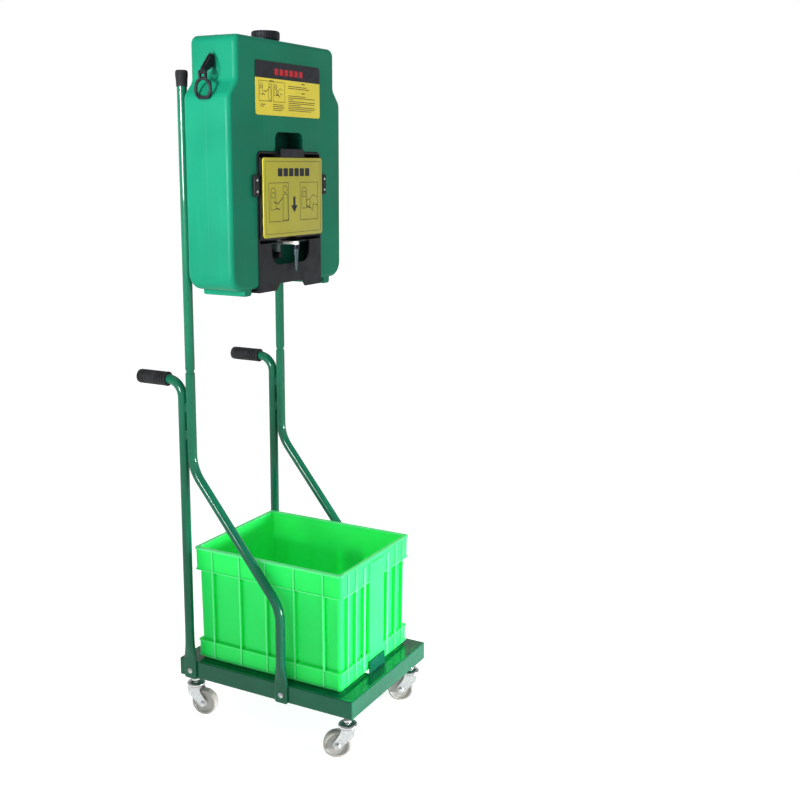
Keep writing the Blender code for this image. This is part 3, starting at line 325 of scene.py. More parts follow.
def paint_faces(faces, is_second):
    """Give the second material to the faces that pass a test, and the first to the others."""
    for face in faces:
        face.material_index = 1 if is_second(face) else 0


# ---- Materials ----
def shade(colour, factor):
    return tuple(min(1.0, channel * factor) for channel in colour)


class Surface:
    """A Principled material whose colour, roughness and relief come from layered procedural textures."""

    def __init__(self, name, colour, metallic=0.0, **constants):
        self.material = bpy.data.materials.new(name)
        self.material.use_nodes = True
        self.material.diffuse_color = (*colour, 1.0)
        self.tree = self.material.node_tree
        self.shader = self.tree.nodes["Principled BSDF"]
        self.colour = colour
        constants.update({"Base Color": (*colour, 1.0), "Metallic": metallic})
        for socket, value in constants.items():
            self.shader.inputs[socket.replace("_", " ")].default_value = value
        self.place = self.add("ShaderNodeTexCoord").outputs["Object"]
        self.normal = None

    def add(self, kind, **inputs):
        made = self.tree.nodes.new(kind)
        for socket, value in inputs.items():
            made.inputs[socket.replace("_", " ")].default_value = value
        return made

    def link(self, source, target):
        self.tree.links.new(source, target)

    def noise(self, scale, detail=3.0, stretch=None):
        """Noise texture, drawn out along the axes whose stretch is below 1."""
        place = self.place
        if stretch:
            mapping = self.add("ShaderNodeMapping", Scale=stretch)
            self.link(place, mapping.inputs["Vector"])
            place = mapping.outputs["Vector"]
        made = self.add("ShaderNodeTexNoise", Scale=scale, Detail=detail)
        self.link(place, made.inputs["Vector"])
        return made.outputs["Fac"]

    def spangle(self, scale):
        """Crystal cells."""
        made = self.add("ShaderNodeTexVoronoi", Scale=scale)
        self.link(self.place, made.inputs["Vector"])
        return made.outputs["Distance"]

    def ranged(self, value, low, high, start=0.35, end=0.65):
        """From low to high as the value goes from start to end."""
        made = self.add("ShaderNodeMapRange", From_Min=start, From_Max=end, To_Min=low, To_Max=high)
        made.interpolation_type = "SMOOTHSTEP"
        self.link(value, made.inputs["Value"])
        return made.outputs["Result"]

    def mixed(self, mask, over):
        """A node that mixes a colour over its first input, by the mask."""
        mix = self.add("ShaderNodeMix")
        mix.data_type = "RGBA"
        self.link(mask, mix.inputs["Factor"])
        mix.inputs["B"].default_value = (*over, 1.0)
        return mix

    def mottle(self, mask, dark, light, start=0.35, end=0.65):
        """Clouds between a darker and a lighter shade of the surface's own colour."""
        mix = self.mixed(self.ranged(mask, 0.0, 1.0, start, end), shade(self.colour, light))
        mix.inputs["A"].default_value = (*shade(self.colour, dark), 1.0)
        self.link(mix.outputs["Result"], self.shader.inputs["Base Color"])

    def overlay(self, mask, colour, low, high, start, end):
        """Lay a colour over what is there already, by a ranged mask."""
        socket = self.shader.inputs["Base Color"]
        below = socket.links[0].from_socket
        mix = self.mixed(self.ranged(mask, low, high, start, end), colour)
        self.link(below, mix.inputs["A"])
        self.link(mix.outputs["Result"], socket)

    def paint_crease_shade(self, reach, colour):
        """Painted shade: lay a darker colour where other faces crowd within reach of this one, from ambient
        occlusion.
        """
        crowd = self.add("ShaderNodeAmbientOcclusion", Distance=reach)
        crowd.samples = 8
        self.overlay(crowd.outputs["AO"], colour, 0.8, 0.0, 0.25, 0.95)

    def polish(self, mask, low, high):
        """Roughness between low and high."""
        self.link(self.ranged(mask, low, high), self.shader.inputs["Roughness"])

    def relief(self, height, strength, distance):
        bump = self.add("ShaderNodeBump", Strength=strength, Distance=distance)
        self.link(height, bump.inputs["Height"])
        if self.normal:
            self.link(self.normal, bump.inputs["Normal"])
        self.normal = bump.outputs["Normal"]
        self.link(self.normal, self.shader.inputs["Normal"])


def powder_coat(name, coat):
    """Glossy green paint with a slight orange peel and faint dust."""
    made = Surface(name, (0.003, 0.105, 0.054), Specular_IOR_Level=0.05, Coat_Weight=coat,
                   Coat_Roughness=0.04)
    made.mottle(made.noise(6.0), 0.9, 1.12)
    made.overlay(made.noise(55.0, 6.0), (0.020, 0.160, 0.090), 0.0, 0.25, 0.66, 0.74)
    made.polish(made.noise(14.0, 4.0), 0.18, 0.30)
    made.relief(made.noise(420.0, 2.0), 0.05, 0.0003)
    return made.material


def tank_plastic(name, green):
    """Satin blow-moulded polyethylene: cloudy colour, a fine skin grain and faint vertical flow lines."""
    made = Surface(name, green, Specular_IOR_Level=0.08, Subsurface_Weight=0.05, Subsurface_Scale=0.01)
    made.mottle(made.noise(5.0, 2.0), 0.93, 1.08)
    made.overlay(made.noise(9.0, 4.0, (6.0, 6.0, 0.6)), shade(green, 1.25), 0.0, 0.25, 0.55, 0.75)
    # painted shade in the tank's creases and recesses
    made.paint_crease_shade(0.030, shade(green, 0.35))
    made.polish(made.noise(20.0, 4.0), 0.36, 0.50)
    made.relief(made.noise(8.0, 2.0), 0.25, 0.0020)
    made.relief(made.noise(700.0, 3.0), 0.12, 0.0003)
    return made.material


def crate_plastic(name, green):
    """Bright polypropylene with a little light inside it."""
    made = Surface(name, green, Specular_IOR_Level=0.15, Subsurface_Weight=0.5, Subsurface_Scale=0.03,
                   Subsurface_Radius=(0.3, 1.0, 0.4))
    made.mottle(made.noise(4.0, 3.0), 0.94, 1.06)
    made.overlay(made.noise(30.0, 5.0, (1.0, 1.0, 0.15)), shade(green, 1.15), 0.0, 0.2, 0.6, 0.8)
    # painted shade in the crate's creases, between its ribs and bands
    made.paint_crease_shade(0.010, shade(green, 0.45))
    made.polish(made.noise(24.0, 4.0), 0.30, 0.44)
    made.relief(made.noise(500.0, 2.0), 0.10, 0.0003)
    return made.material


def moulded_black():
    """Satin black moulding with a fine spark-eroded grain."""
    made = Surface("moulded_black_plastic", (0.0085, 0.0095, 0.0125), Specular_IOR_Level=0.14)
    made.mottle(made.noise(12.0, 3.0), 0.8, 1.35)
    made.polish(made.noise(40.0, 4.0), 0.34, 0.50)
    made.relief(made.noise(900.0, 2.0), 0.25, 0.0002)
    return made.material


def black_rubber():
    """Matte black rubber, dulled by handling."""
    made = Surface("black_rubber", (0.010, 0.0105, 0.012), Specular_IOR_Level=0.14, Sheen_Weight=0.05,
                   Sheen_Roughness=0.5)
    made.mottle(made.noise(25.0, 4.0), 0.8, 1.9)
    made.polish(made.noise(60.0, 4.0), 0.52, 0.70)
    made.relief(made.noise(1100.0, 3.0), 0.30, 0.0002)
    return made.material


def grey_tube(name, grey):
    """Soft grey vinyl, milky where it is stretched."""
    made = Surface(name, grey, Subsurface_Weight=0.1, Subsurface_Scale=0.004)
    made.mottle(made.noise(60.0, 3.0, (1.0, 1.0, 0.3)), 0.75, 1.3)
    made.polish(made.noise(80.0), 0.35, 0.5)
    made.relief(made.noise(900.0), 0.15, 0.0002)
    return made.material


def white_moulding():
    """Clean white plastic."""
    made = Surface("white_moulded_plastic", (0.74, 0.75, 0.74), Subsurface_Weight=0.1, Subsurface_Scale=0.005)
    made.mottle(made.noise(50.0, 3.0), 0.92, 1.04)
    made.polish(made.noise(70.0), 0.30, 0.42)
    made.relief(made.noise(1000.0), 0.10, 0.0002)
    return made.material


def wheel_nylon():
    """Grey-white nylon, a little dusty from the floor."""
    made = Surface("wheel_nylon", (0.38, 0.38, 0.355), Subsurface_Weight=0.15, Subsurface_Scale=0.006)
    made.mottle(made.noise(35.0, 4.0), 0.86, 1.10)
    made.overlay(made.noise(90.0, 6.0), (0.22, 0.20, 0.17), 0.0, 0.45, 0.58, 0.72)
    made.polish(made.noise(60.0, 4.0), 0.34, 0.55)
    made.relief(made.noise(600.0, 3.0), 0.20, 0.0002)
    return made.material


def printed_film(name, yellow):
    """Printed film: even ink with a faint mottle and shallow waves where it is stuck down."""
    made = Surface(name, yellow, Specular_IOR_Level=0.3)
    made.mottle(made.noise(10.0, 4.0), 0.95, 1.04)
    made.overlay(made.noise(180.0, 5.0), shade(yellow, 0.82), 0.0, 0.25, 0.62, 0.75)
    made.polish(made.noise(35.0, 4.0), 0.36, 0.48)
    made.relief(made.noise(22.0, 2.0), 0.10, 0.0008)
    return made.material


def ink(name, colour):
    """Printing ink, slightly uneven."""
    made = Surface(name, colour, Specular_IOR_Level=0.14)
    made.mottle(made.noise(150.0, 4.0), 0.85, 1.2)
    made.polish(made.noise(60.0), 0.38, 0.50)
    return made.material


def zinc_plate():
    """Zinc-plated pressed steel: faint spangle, brushed streaks and a few dull stains."""
    made = Surface("zinc_plate", (0.55, 0.56, 0.57), metallic=1.0)
    made.mottle(made.spangle(260.0), 0.85, 1.15, 0.1, 0.7)
    made.overlay(made.noise(45.0, 5.0), (0.30, 0.28, 0.25), 0.0, 0.6, 0.60, 0.75)
    made.polish(made.noise(70.0, 4.0, (1.0, 1.0, 6.0)), 0.26, 0.46)
    made.relief(made.noise(500.0, 2.0), 0.12, 0.0002)
    return made.material


def bright_chrome():
    """Bright plating with fine scuffs and a little haze."""
    made = Surface("bright_plating", (0.70, 0.70, 0.71), metallic=1.0)
    made.mottle(made.noise(30.0, 4.0), 0.88, 1.08)
    made.polish(made.noise(120.0, 5.0, (1.0, 1.0, 8.0)), 0.08, 0.26)
    made.relief(made.noise(300.0, 2.0), 0.05, 0.0002)
    return made.material


PAINT = powder_coat("powder_coat_green", 0.45)
TRAY_PAINT = powder_coat("powder_coat_tray_top", 1.0)
TANK = tank_plastic("tank_polyethylene", (0.004, 0.165, 0.092))
# painted shade: a much darker copy of the tank plastic for the bay and finger recess, standing in for the
# shadow inside them
TANK_BAY_PAINTED_SHADE = tank_plastic("tank_bay_shade", (0.003, 0.060, 0.036))
CRATE = crate_plastic("crate_polypropylene", (0.022, 0.93, 0.135))
# painted highlight: a paler copy of the crate plastic for the outer faces of ribs, band edges and rim,
# standing in for light caught on those edges
CRATE_PAINTED_HIGHLIGHT = crate_plastic("crate_painted_edge_highlight", (0.11, 0.93, 0.27))
BLACK = moulded_black()
RUBBER = black_rubber()
VINYL = grey_tube("grey_vinyl", (0.12, 0.14, 0.15))
SLEEVE = grey_tube("sleeve_vinyl", (0.030, 0.058, 0.070))
WHITE = white_moulding()
NYLON = wheel_nylon()
LABEL_YELLOW = printed_film("label_film_yellow", (0.70, 0.58, 0.035))
COVER_YELLOW = printed_film("cover_film_yellow", (0.385, 0.355, 0.022))
BLACK_INK = ink("black_ink", (0.012, 0.013, 0.018))
RED_INK = ink("red_ink", (0.45, 0.012, 0.020))
ZINC = zinc_plate()
CHROME = bright_chrome()


# ---- Trolley ----
def tube_rings(path, x, radius, sides=28):
    """Rings across a centre line in the YZ plane at x."""
    rings = []
    for i, point in enumerate(path):
        along = (path[min(i + 1, len(path) - 1)] - path[max(i - 1, 0)]).normalized()
        normal = Vector((-along.y, along.x))
        ring = []
        for turn in turns(sides):
            offset = normal * radius * math.cos(turn)
            ring.append((x + radius * math.sin(turn), point.x + offset.x, point.y + offset.y))
        rings.append(ring)
    return rings


def foot_rings(x, y, sides=28):
    """From the flattened foot up to where the tube is round again."""
    stations = (  # height, half width along X, half width along Y, squareness
        (FOOT_LOW, FOOT_THIN - 0.0006, FOOT_HALF - 0.0034, 5.0),
        (FOOT_LOW + 0.0008, FOOT_THIN, FOOT_HALF - 0.0018, 5.0),
        (FOOT_LOW + 0.003, FOOT_THIN, FOOT_HALF, 6.0),
        (TRAY_TOP + 0.002, FOOT_THIN, FOOT_HALF, 6.0), (0.153, 0.0030, 0.0167, 4.2),
        (0.160, 0.0042, 0.0161, 3.2), (0.168, 0.0060, 0.0150, 2.6), (0.177, 0.0081, 0.0137, 2.3),
        (0.187, 0.0097, 0.0124, 2.1), (0.197, 0.0106, 0.0115, 2.0), (0.206, TUBE_R, TUBE_R, 2.0))
    rings = []
    for height, half_x, half_y, square in stations:
        ring = []
        for turn in turns(sides):
            u, v = squared(turn, 2 / square)
            ring.append((x + v * half_x, y - u * half_y, height))
        rings.append(ring)
    return rings


def bent_path(points, radius, steps):
    corners = [(u, v, 0 if i in (0, len(points) - 1) else radius) for i, (u, v) in enumerate(points)]
    return rounded(corners, steps)


def build_frame_tubes():
    """Handle tubes and front tubes: hollow, bent, and flattened at the foot."""
    grip_end = highest("right_grip").y - 0.004
    handle = bent_path([(HANDLE_Y, FOOT_END), (HANDLE_Y, HANDLE_TOP), (grip_end, HANDLE_TOP)],
                       HANDLE_BEND, 14)
    front = bent_path([(FRONT_FOOT_Y, FOOT_END), (FRONT_FOOT_Y, LOW_BEND_Z), (POST_Y, HIGH_BEND_Z),
                       (POST_Y, SLEEVE_TOP - 0.0006)], FRONT_BEND, 12)
    for name, sign in SIDES.items():
        x = sign * POST_X
        for part, path, foot_y in (("handle_tube", handle, HANDLE_Y), ("front_tube", front, FRONT_FOOT_Y)):
            outer = foot_rings(x, foot_y) + tube_rings(path, x, TUBE_R)
            inner = tube_rings(path, x, TUBE_R - TUBE_WALL)
            fine(name + "_" + part, loft(outer + inner[::-1]), "trolley", PAINT, "green_paint")
        build_post(name, x)
        build_welds(name, x)


def build_post(name, x):
    """Upper post: a necked-in plug inside the front tube, a swelling up to full size, and its rubber cap."""
    neck, inside, plug = TUBE_R - 0.0022, TUBE_R - 0.004, SLEEVE_TOP - 0.040
    profile = [(neck, plug), (neck, SLEEVE_TOP + 0.0020), (neck + 0.0004, SLEEVE_TOP + 0.0035),
               (TUBE_R - 0.0010, SLEEVE_TOP + 0.0062), (TUBE_R - 0.0002, SLEEVE_TOP + 0.0080),
               (TUBE_R, SLEEVE_TOP + 0.0100), (TUBE_R, POST_TOP), (inside, POST_TOP), (inside, plug)]
    post = turned(profile, (x, POST_Y, 0), sides=28, closed=True)
    fine(name + "_upper_post", post, "trolley", PAINT, "green_paint")
    node = name + "_post_cap"
    low, high = lowest(node).z, highest(node).z
    socket, roof = TUBE_R + GAP, POST_TOP + GAP
    profile = [(0.003, roof), (socket, roof), (socket, low), (0.0121, low), (0.0125, low + 0.0006),
               (0.0122, low + 0.0016), (0.0124, low + 0.010), (0.0130, high - 0.018), (0.0137, high - 0.0125),
               (0.0138, high - 0.0065), (0.0133, high - 0.0030), (0.0119, high - 0.0009), (0.0095, high),
               (0.0030, high)]
    fine(node, turned(profile, (x, POST_Y, 0), sides=32), "trolley", RUBBER, "black_rubber")


def build_welds(name, x):
    """Two short fillet welds on each side of the joint between the front tube and the handle tube."""
    beads, length, size = 7, 0.022, 0.0034
    mesh = bmesh.new()
    for z in WELD_HEIGHTS:
        for side in (-1, 1):
            rings = []
            for k in range(beads * 4 + 1):
                share = k / (beads * 4)
                swell = math.sin(math.pi * min(1.0, max(0.02, share))) ** 0.35
                radius = size * swell * (1.0 + 0.10 * math.cos(math.tau * share * beads))
                centre = (x + side * 0.0042, (POST_Y + HANDLE_Y) / 2, z + (share - 0.5) * length)
                rings.append(oval(centre, radius * 0.8, radius, 12))
            loft(rings, mesh=mesh)
    piece(name + "_frame_welds", mesh, "trolley", PAINT, "green_paint")


def build_grips():
    """Ribbed rubber sleeves with a flange at the open end and a domed closed end."""
    ribs, flutes = 8, 24
    for name, sign in SIDES.items():
        node = name + "_grip"
        low, high = span(node)
        radius, length = (high.z - low.z) / 2, high.y - low.y
        socket = TUBE_R + GAP
        pitch = (length - 0.020) / ribs
        profile = [(0.003, length - 0.0038), (socket, length - 0.0038), (socket, 0.0), (radius - 0.0012, 0.0),
                   (radius - 0.0002, 0.0010), (radius - 0.0002, 0.0042), (radius - 0.0012, 0.0052)]
        for i in range(ribs):
            start = 0.0064 + i * pitch
            profile += [(radius - 0.0022, start), (radius - 0.0022, start + 0.0008),
                        (radius - 0.0008, start + 0.0016), (radius - 0.0004, start + pitch * 0.5),
                        (radius - 0.0008, start + pitch - 0.0008)]
        profile += [(radius - 0.0010, length - 0.012), (radius - 0.0006, length - 0.0075),
                    (radius - 0.0016, length - 0.0035), (radius - 0.0045, length - 0.0010),
                    (radius - 0.0085, length), (0.003, length)]

        def flute(turn, height):
            return -0.00035 if turn % 4 == 0 and 0.007 < height < length - 0.013 else 0.0

        mesh = turned(profile, (sign * POST_X, low.y, HANDLE_TOP), (0, 1, 0), flutes * 4, wobble=flute)
        fine(node, mesh, "trolley", RUBBER, "black_rubber", smooth_deg=50)


def build_foot_bolts():
    """Domed heads with a washer under each."""
    for name, sign in SIDES.items():
        for place, y in (("front", FRONT_FOOT_Y), ("handle", HANDLE_Y)):
            node = "%s_%s_foot_bolt" % (name, place)
            face = abs(POST_X) + FOOT_THIN + GAP
            tip = min(abs(lowest(node).x), abs(highest(node).x))
            profile = [(0.0024, tip), (0.0030, tip + 0.0008), (0.0030, face), (0.0062, face),
                       (0.0064, face + 0.0004), (0.0062, face + 0.0008), (0.0052, face + 0.0009),
                       (0.0051, face + 0.0016), (0.0044, face + 0.0028), (0.0030, face + 0.0037),
                       (0.0022, face + 0.0040), (0.0020, face + 0.0026), (0.0004, face + 0.0024)]
            fine(node, turned(profile, (0, y, BOLT_Z), (sign, 0, 0), 30), "trolley", ZINC, "zinc")


def build_hanger_nuts():
    """The nuts and bolt ends behind the upper crossbar, which hold the tank's hanger."""
    centre = middle("upper_crossbar")
    face = highest("upper_crossbar").y + 0.0002
    profile = [(0.0052, face), (0.0056, face + 0.0006), (0.0056, face + 0.0034), (0.0050, face + 0.0040),
               (0.0026, face + 0.0040), (0.0026, face + 0.0058), (0.0020, face + 0.0064),
               (0.0004, face + 0.0064)]
    for name, sign in SIDES.items():
        nut = turned(profile, (sign * 0.040, 0, centre.z), (0, 1, 0), 6)
        piece(name + "_hanger_nut", nut, "trolley", ZINC, "zinc", bevel=0.0003)


def build_trolley():
    build_frame_tubes()
    build_grips()
    build_foot_bolts()
    build_hanger_nuts()
    soften(0.0008, "base_tray")
    soften(0.0006, "front_caster_rail", "rear_caster_rail", "tank_hanger")
    soften(0.0010, "upper_crossbar", "lower_crossbar")
    repaint(PAINT, "base_tray", "front_caster_rail", "rear_caster_rail", "upper_crossbar", "lower_crossbar")
    repaint(ZINC, "tank_hanger")
    tray = frame["nodes"]["base_tray"].data
    tray.materials.append(TRAY_PAINT)
    paint_faces(tray.polygons, lambda face: face.normal.z > 0.9)


# ---- Casters ----
def build_caster(place):
    stem, hub = pivot_of("swivel_" + place), pivot_of("roll_" + place)
    spin = Vector(joint_named("roll_" + place)["axis"]).normalized()
    build_caster_head(place, stem)
    build_caster_fork(place, stem, hub, spin)
    build_caster_wheel(place, hub, spin)
    build_caster_axle(place, hub, spin)


def build_caster_head(place, stem):
    """Dished bearing cup with a pressed step, a spacer and the threaded stem with its nut."""
    node = "caster_head_" + place
    low, high = lowest(node).z, highest(node).z
    wide = highest(node).x - stem.x
    rail = lowest("front_caster_rail").z
    thread_low, threads = low + 0.0148, 11
    profile = [(0.004, low), (wide - 0.0016, low), (wide - 0.0003, low + 0.0010), (wide, low + 0.0024),
               (wide - 0.0006, low + 0.0046), (wide - 0.0028, low + 0.0068), (0.0168, low + 0.0088),
               (0.0130, low + 0.0098), (0.0092, low + 0.0104), (0.0086, low + 0.0118), (0.0086, low + 0.0142),
               (0.0052, thread_low)]
    pitch = (rail - thread_low) / threads
    for i in range(threads):
        start = thread_low + i * pitch
        profile += [(0.0052, start), (0.0046, start + pitch * 0.5)]
    profile += [(0.0050, rail), (0.0050, high - 0.001), (0.0040, high)]
    base = (stem.x, stem.y, 0)
    fine(node, turned(profile, base, sides=40), "trolley", CHROME, "chrome")
    nut = turned([(0.0056, rail - 0.0062), (0.0094, rail - 0.0062), (0.0098, rail - 0.0055),
                  (0.0098, rail - 0.0010), (0.0090, rail - 0.0004), (0.0056, rail - 0.0004)],
                 base, sides=6, closed=True)
    piece("caster_nut_" + place, nut, "trolley", ZINC, "zinc", bevel=0.0003)


def build_caster_fork(place, stem, hub, spin):
    """Pressed fork: a round plate, and two legs that taper down and back to the axle."""
    node = "caster_fork_" + place
    top = highest(node).z
    foot = Vector((stem.x, stem.y, 0))
    trail = Vector((hub.x, hub.y, 0)) - foot
    along, reach = trail.normalized(), trail.length
    inner, steel = 0.0132, 0.0025
    plate = turned([(0.0188, top - 0.0032), (0.0203, top - 0.0026), (0.0207, top - 0.0014),
                    (0.0200, top - 0.0004), (0.0185, top)], foot, sides=40)
    outline = rounded([(-0.016, top - 0.0012, 0), (-0.0142, 0.055, 0.012), (reach - 0.0085, 0.026, 0.009),
                       (reach + 0.0085, 0.023, 0.0085), (reach + 0.0085, 0.038, 0.010),
                       (0.0175, 0.060, 0.014), (0.0137, top - 0.0012, 0)], 8)
    legs = []
    for sign in (-1, 1):
        legs.append(loft([[foot + along * p.x + spin * sign * offset + Vector((0, 0, p.y)) for p in outline]
                          for offset in (inner, inner + steel)]))
    mesh = carve(plate, legs, [bore(0.0043, hub, spin, 0.03)])
    fine(node, mesh, "fork_" + place, ZINC, "zinc", bevel=0.0006)


def build_caster_wheel(place, hub, spin):
    """Nylon wheel with a crowned tread, a sunk web and a hub boss."""
    radius = hub.z
    half = [(0.0043, 0.0118), (0.0078, 0.0118), (0.0086, 0.0112), (0.0092, 0.0078), (0.0105, 0.0070),
            (0.0215, 0.0066), (0.0235, 0.0074), (0.0248, 0.0098), (0.0262, 0.0106), (0.0285, 0.0104),
            (0.0302, 0.0094), (0.0312, 0.0076), (radius, 0.0050), (radius, 0.0)]
    profile = [(r, -h) for r, h in half[:-1]] + half[::-1]
    wheel = turned(profile, hub, spin, 60, closed=True)
    fine("caster_wheel_" + place, wheel, "wheel_" + place, NYLON, "wheel_nylon")


def build_caster_axle(place, hub, spin):
    """Axle bolt: hexagon head and washer on one side, nut and bolt end on the other."""
    side = 0.0160
    shaft = turned([(0.0036, -side - 0.0058), (0.0040, -side - 0.0050), (0.0040, side), (0.0072, side),
                    (0.0074, side + 0.0006), (0.0066, side + 0.0012), (0.0030, side + 0.0012)], hub, spin, 28)
    hexagons = []
    for start, tall in ((side + 0.0010, 0.0036), (-side - 0.0040, 0.0040)):
        hexagons.append(turned([(0.0056, start), (0.0064, start + 0.0004), (0.0064, start + tall - 0.0006),
                                (0.0056, start + tall)], hub, spin, 6))
    fine("caster_axle_" + place, carve(shaft, hexagons), "fork_" + place, ZINC, "zinc", smooth_deg=25)


# ---- Crate ----
def crate_lean(height):
    """How far the walls lean in at a height above the crate's foot."""
    return CRATE_TAPER * (1 - height / CRATE_TALL)


def crate_ring(height, inset, radius=0.008):
    inset += crate_lean(height)
    x, y0, y1 = CRATE_X - inset, CRATE_FRONT + inset, CRATE_REAR - inset
    return [(p.x, p.y, CRATE_LOW.z + height) for p in rounded(rectangle(-x, y0, x, y1, radius), 5)]


def crate_ribs(side, shares, half, low, high, proud):
    """Ribs on both long (X) or both short (Y) sides, whose outer faces stand proud of the bands."""
    ribs = []
    for share in shares:
        for sign in (-1, 1):
            rings = []
            for height in (low, high):
                ring = []
                outer, inner = crate_lean(height) - proud, crate_lean(height) + 0.0095
                for inset, shift in ((outer, -half), (outer, half), (inner, half), (inner, -half)):
                    if side == "X":
                        along = CRATE_FRONT + share * (CRATE_REAR - CRATE_FRONT) + shift
                        ring.append((sign * (CRATE_X - inset), along, CRATE_LOW.z + height))
                    else:
                        edge = CRATE_REAR - inset if sign > 0 else CRATE_FRONT + inset
                        ring.append(((2 * share - 1) * CRATE_X + shift, edge, CRATE_LOW.z + height))
                rings.append(ring)
            ribs.append(loft(rings))
    return ribs


def build_crate():
    """Open box on a set-in foot: two bands edged by raised lines, sunk walls, upright ribs and end panels."""
    foot, low_band, top_band, rim, line = 0.008, 0.048, 0.055, 0.0045, 0.0022
    sunk, band, step = 0.008, 0.0018, 0.0004
    top, band_foot = CRATE_TALL, CRATE_TALL - top_band
    levels = [(0.0, sunk + 0.001), (0.001, sunk), (foot, sunk), (foot + 0.0002, 0.0006), (foot + 0.0008, 0.0),
              (foot + line, 0.0), (foot + line + step, band), (low_band - line, band),
              (low_band - line + step, 0.0), (low_band, 0.0), (low_band + 0.0014, sunk),
              (band_foot - 0.0014, sunk), (band_foot, 0.0), (band_foot + line, 0.0),
              (band_foot + line + step, band), (top - rim - 0.0006, band), (top - rim, 0.0),
              (top - 0.0008, 0.0), (top, 0.0008)]
    rib_low = foot + 0.002
    ribs = crate_ribs("X", (0.12, 0.31, 0.50, 0.68, 0.87), 0.0019, rib_low, top - 0.004, 0.0005)
    ribs += crate_ribs("Y", (0.10, 0.21, 0.79, 0.90), 0.0017, rib_low, top - 0.004, 0.0005)
    ribs += crate_ribs("Y", (0.33, 0.67), 0.0040, rib_low, top - 0.014, 0.0)
    ribs += crate_ribs("Y", (0.5,), 0.034, rib_low, top - 0.012, 0.0003)
    hollow = [(0.0030, 0.003, 0.004), (0.0042, 0.0008, 0.006), (0.0070, 0.0, 0.006),
              (top - 0.0016, 0.0, 0.006), (top - 0.0004, -0.0006, 0.006), (top + 0.010, -0.0030, 0.006)]
    inside = loft([crate_ring(height, CRATE_WALL + inset, radius) for height, inset, radius in hollow])
    shell = carve(loft([crate_ring(height, inset) for height, inset in levels]), ribs, [inside])
    # the outer faces of ribs, band edges and rim get the paler painted highlight
    paint_faces(shell.faces, gets_crate_painted_highlight)
    crate = piece("crate_fine", shell, "crate", CRATE, "crate_green", ["crate"], smooth_deg=30,
                  bevel=0.0004, segments=1)
    crate.data.materials.append(CRATE_PAINTED_HIGHLIGHT)


def gets_crate_painted_highlight(face):
    """Whether a face is the outer face of a rib, of a band's raised edge or of the rim, which get a paler
    painted highlight.
    """
    spot = face.calc_center_median()
    lean = crate_lean(spot.z - CRATE_LOW.z)
    side_depth = CRATE_X - lean - abs(spot.x)
    end_depth = min(spot.y - CRATE_FRONT, CRATE_REAR - spot.y) - lean
    panel = abs(spot.x) < 0.033 and end_depth < side_depth
    on_rim = spot.z > CRATE_HIGH.z - 0.0020
    return on_rim or (min(side_depth, end_depth) < 0.0005 and not panel)


# ---- Tank ----
def tank_outline(inset):
    """Front view of the tank, drawn in by inset."""
    x, z0, z1 = TANK_HALF_X - inset, TANK_BASE + inset, TANK_TOP - inset
    top_x = x - SHOULDER_IN
    return both_halves([(x, z0, 0.038 - inset), (x, SHOULDER_Z[0], 0.022), (top_x, SHOULDER_Z[1], 0.022),
                        (top_x, z1, 0.018 - inset)], 8)


def tank_depths():
    """Stations through the tank's depth: rounded front and back edges and a fine parting ridge."""
    near, far = eased_ends(TANK_FRONT, TANK_BACK, 0.011, 7)
    parting = (TANK_FRONT + TANK_BACK) / 2
    ridge = [(parting - 0.0012, 0.0), (parting - 0.0005, -0.0005), (parting + 0.0005, -0.0005),
             (parting + 0.0012, 0.0)]
    return near + ridge + far


def bay_outline():
    return both_halves([(BAY_HALF_X, TANK_BASE - 0.05, 0), (BAY_HALF_X, BAY_TOP, 0.013),
                        (FINGER_HALF_X, BAY_TOP, 0.008), (FINGER_HALF_X, FINGER_TOP, 0.016)], 6)


def teardrop(sign):
    """Dimple in the tank's side behind the carry lug: pointed above, round below, with sloping sides."""
    wall = TANK_HALF_X - SHOULDER_IN
    pivot = pivot_of("right_ring_swing")
    half = 0.021
    rings = []
    for depth, size in ((-0.012, 1.35), (0.0, 1.0), (0.0045, 0.72), (0.0060, 0.45)):
        ring = []
        for turn in turns(40):
            tip = 0.026 * max(0.0, math.sin(turn)) ** 3
            ring.append((sign * (wall - depth), pivot.y + half * size * math.cos(turn),
                         pivot.z + 0.004 + size * (half * math.sin(turn) + tip)))
        rings.append(ring)
    return loft(rings)


def tank_pocket():
    """The pocket in the tank's back, with a lip over its mouth that hooks on the hanger."""
    outside, lip = TANK_BACK + 0.01, TANK_BACK - 0.004
    outline = [(outside, POCKET_LOW), (outside, POCKET_MOUTH), (lip, POCKET_MOUTH), (lip, POCKET_HIGH),
               (POCKET_FRONT, POCKET_HIGH), (POCKET_FRONT, POCKET_LOW)]
    return prism(outline, "X", -POCKET_HALF_X, POCKET_HALF_X)


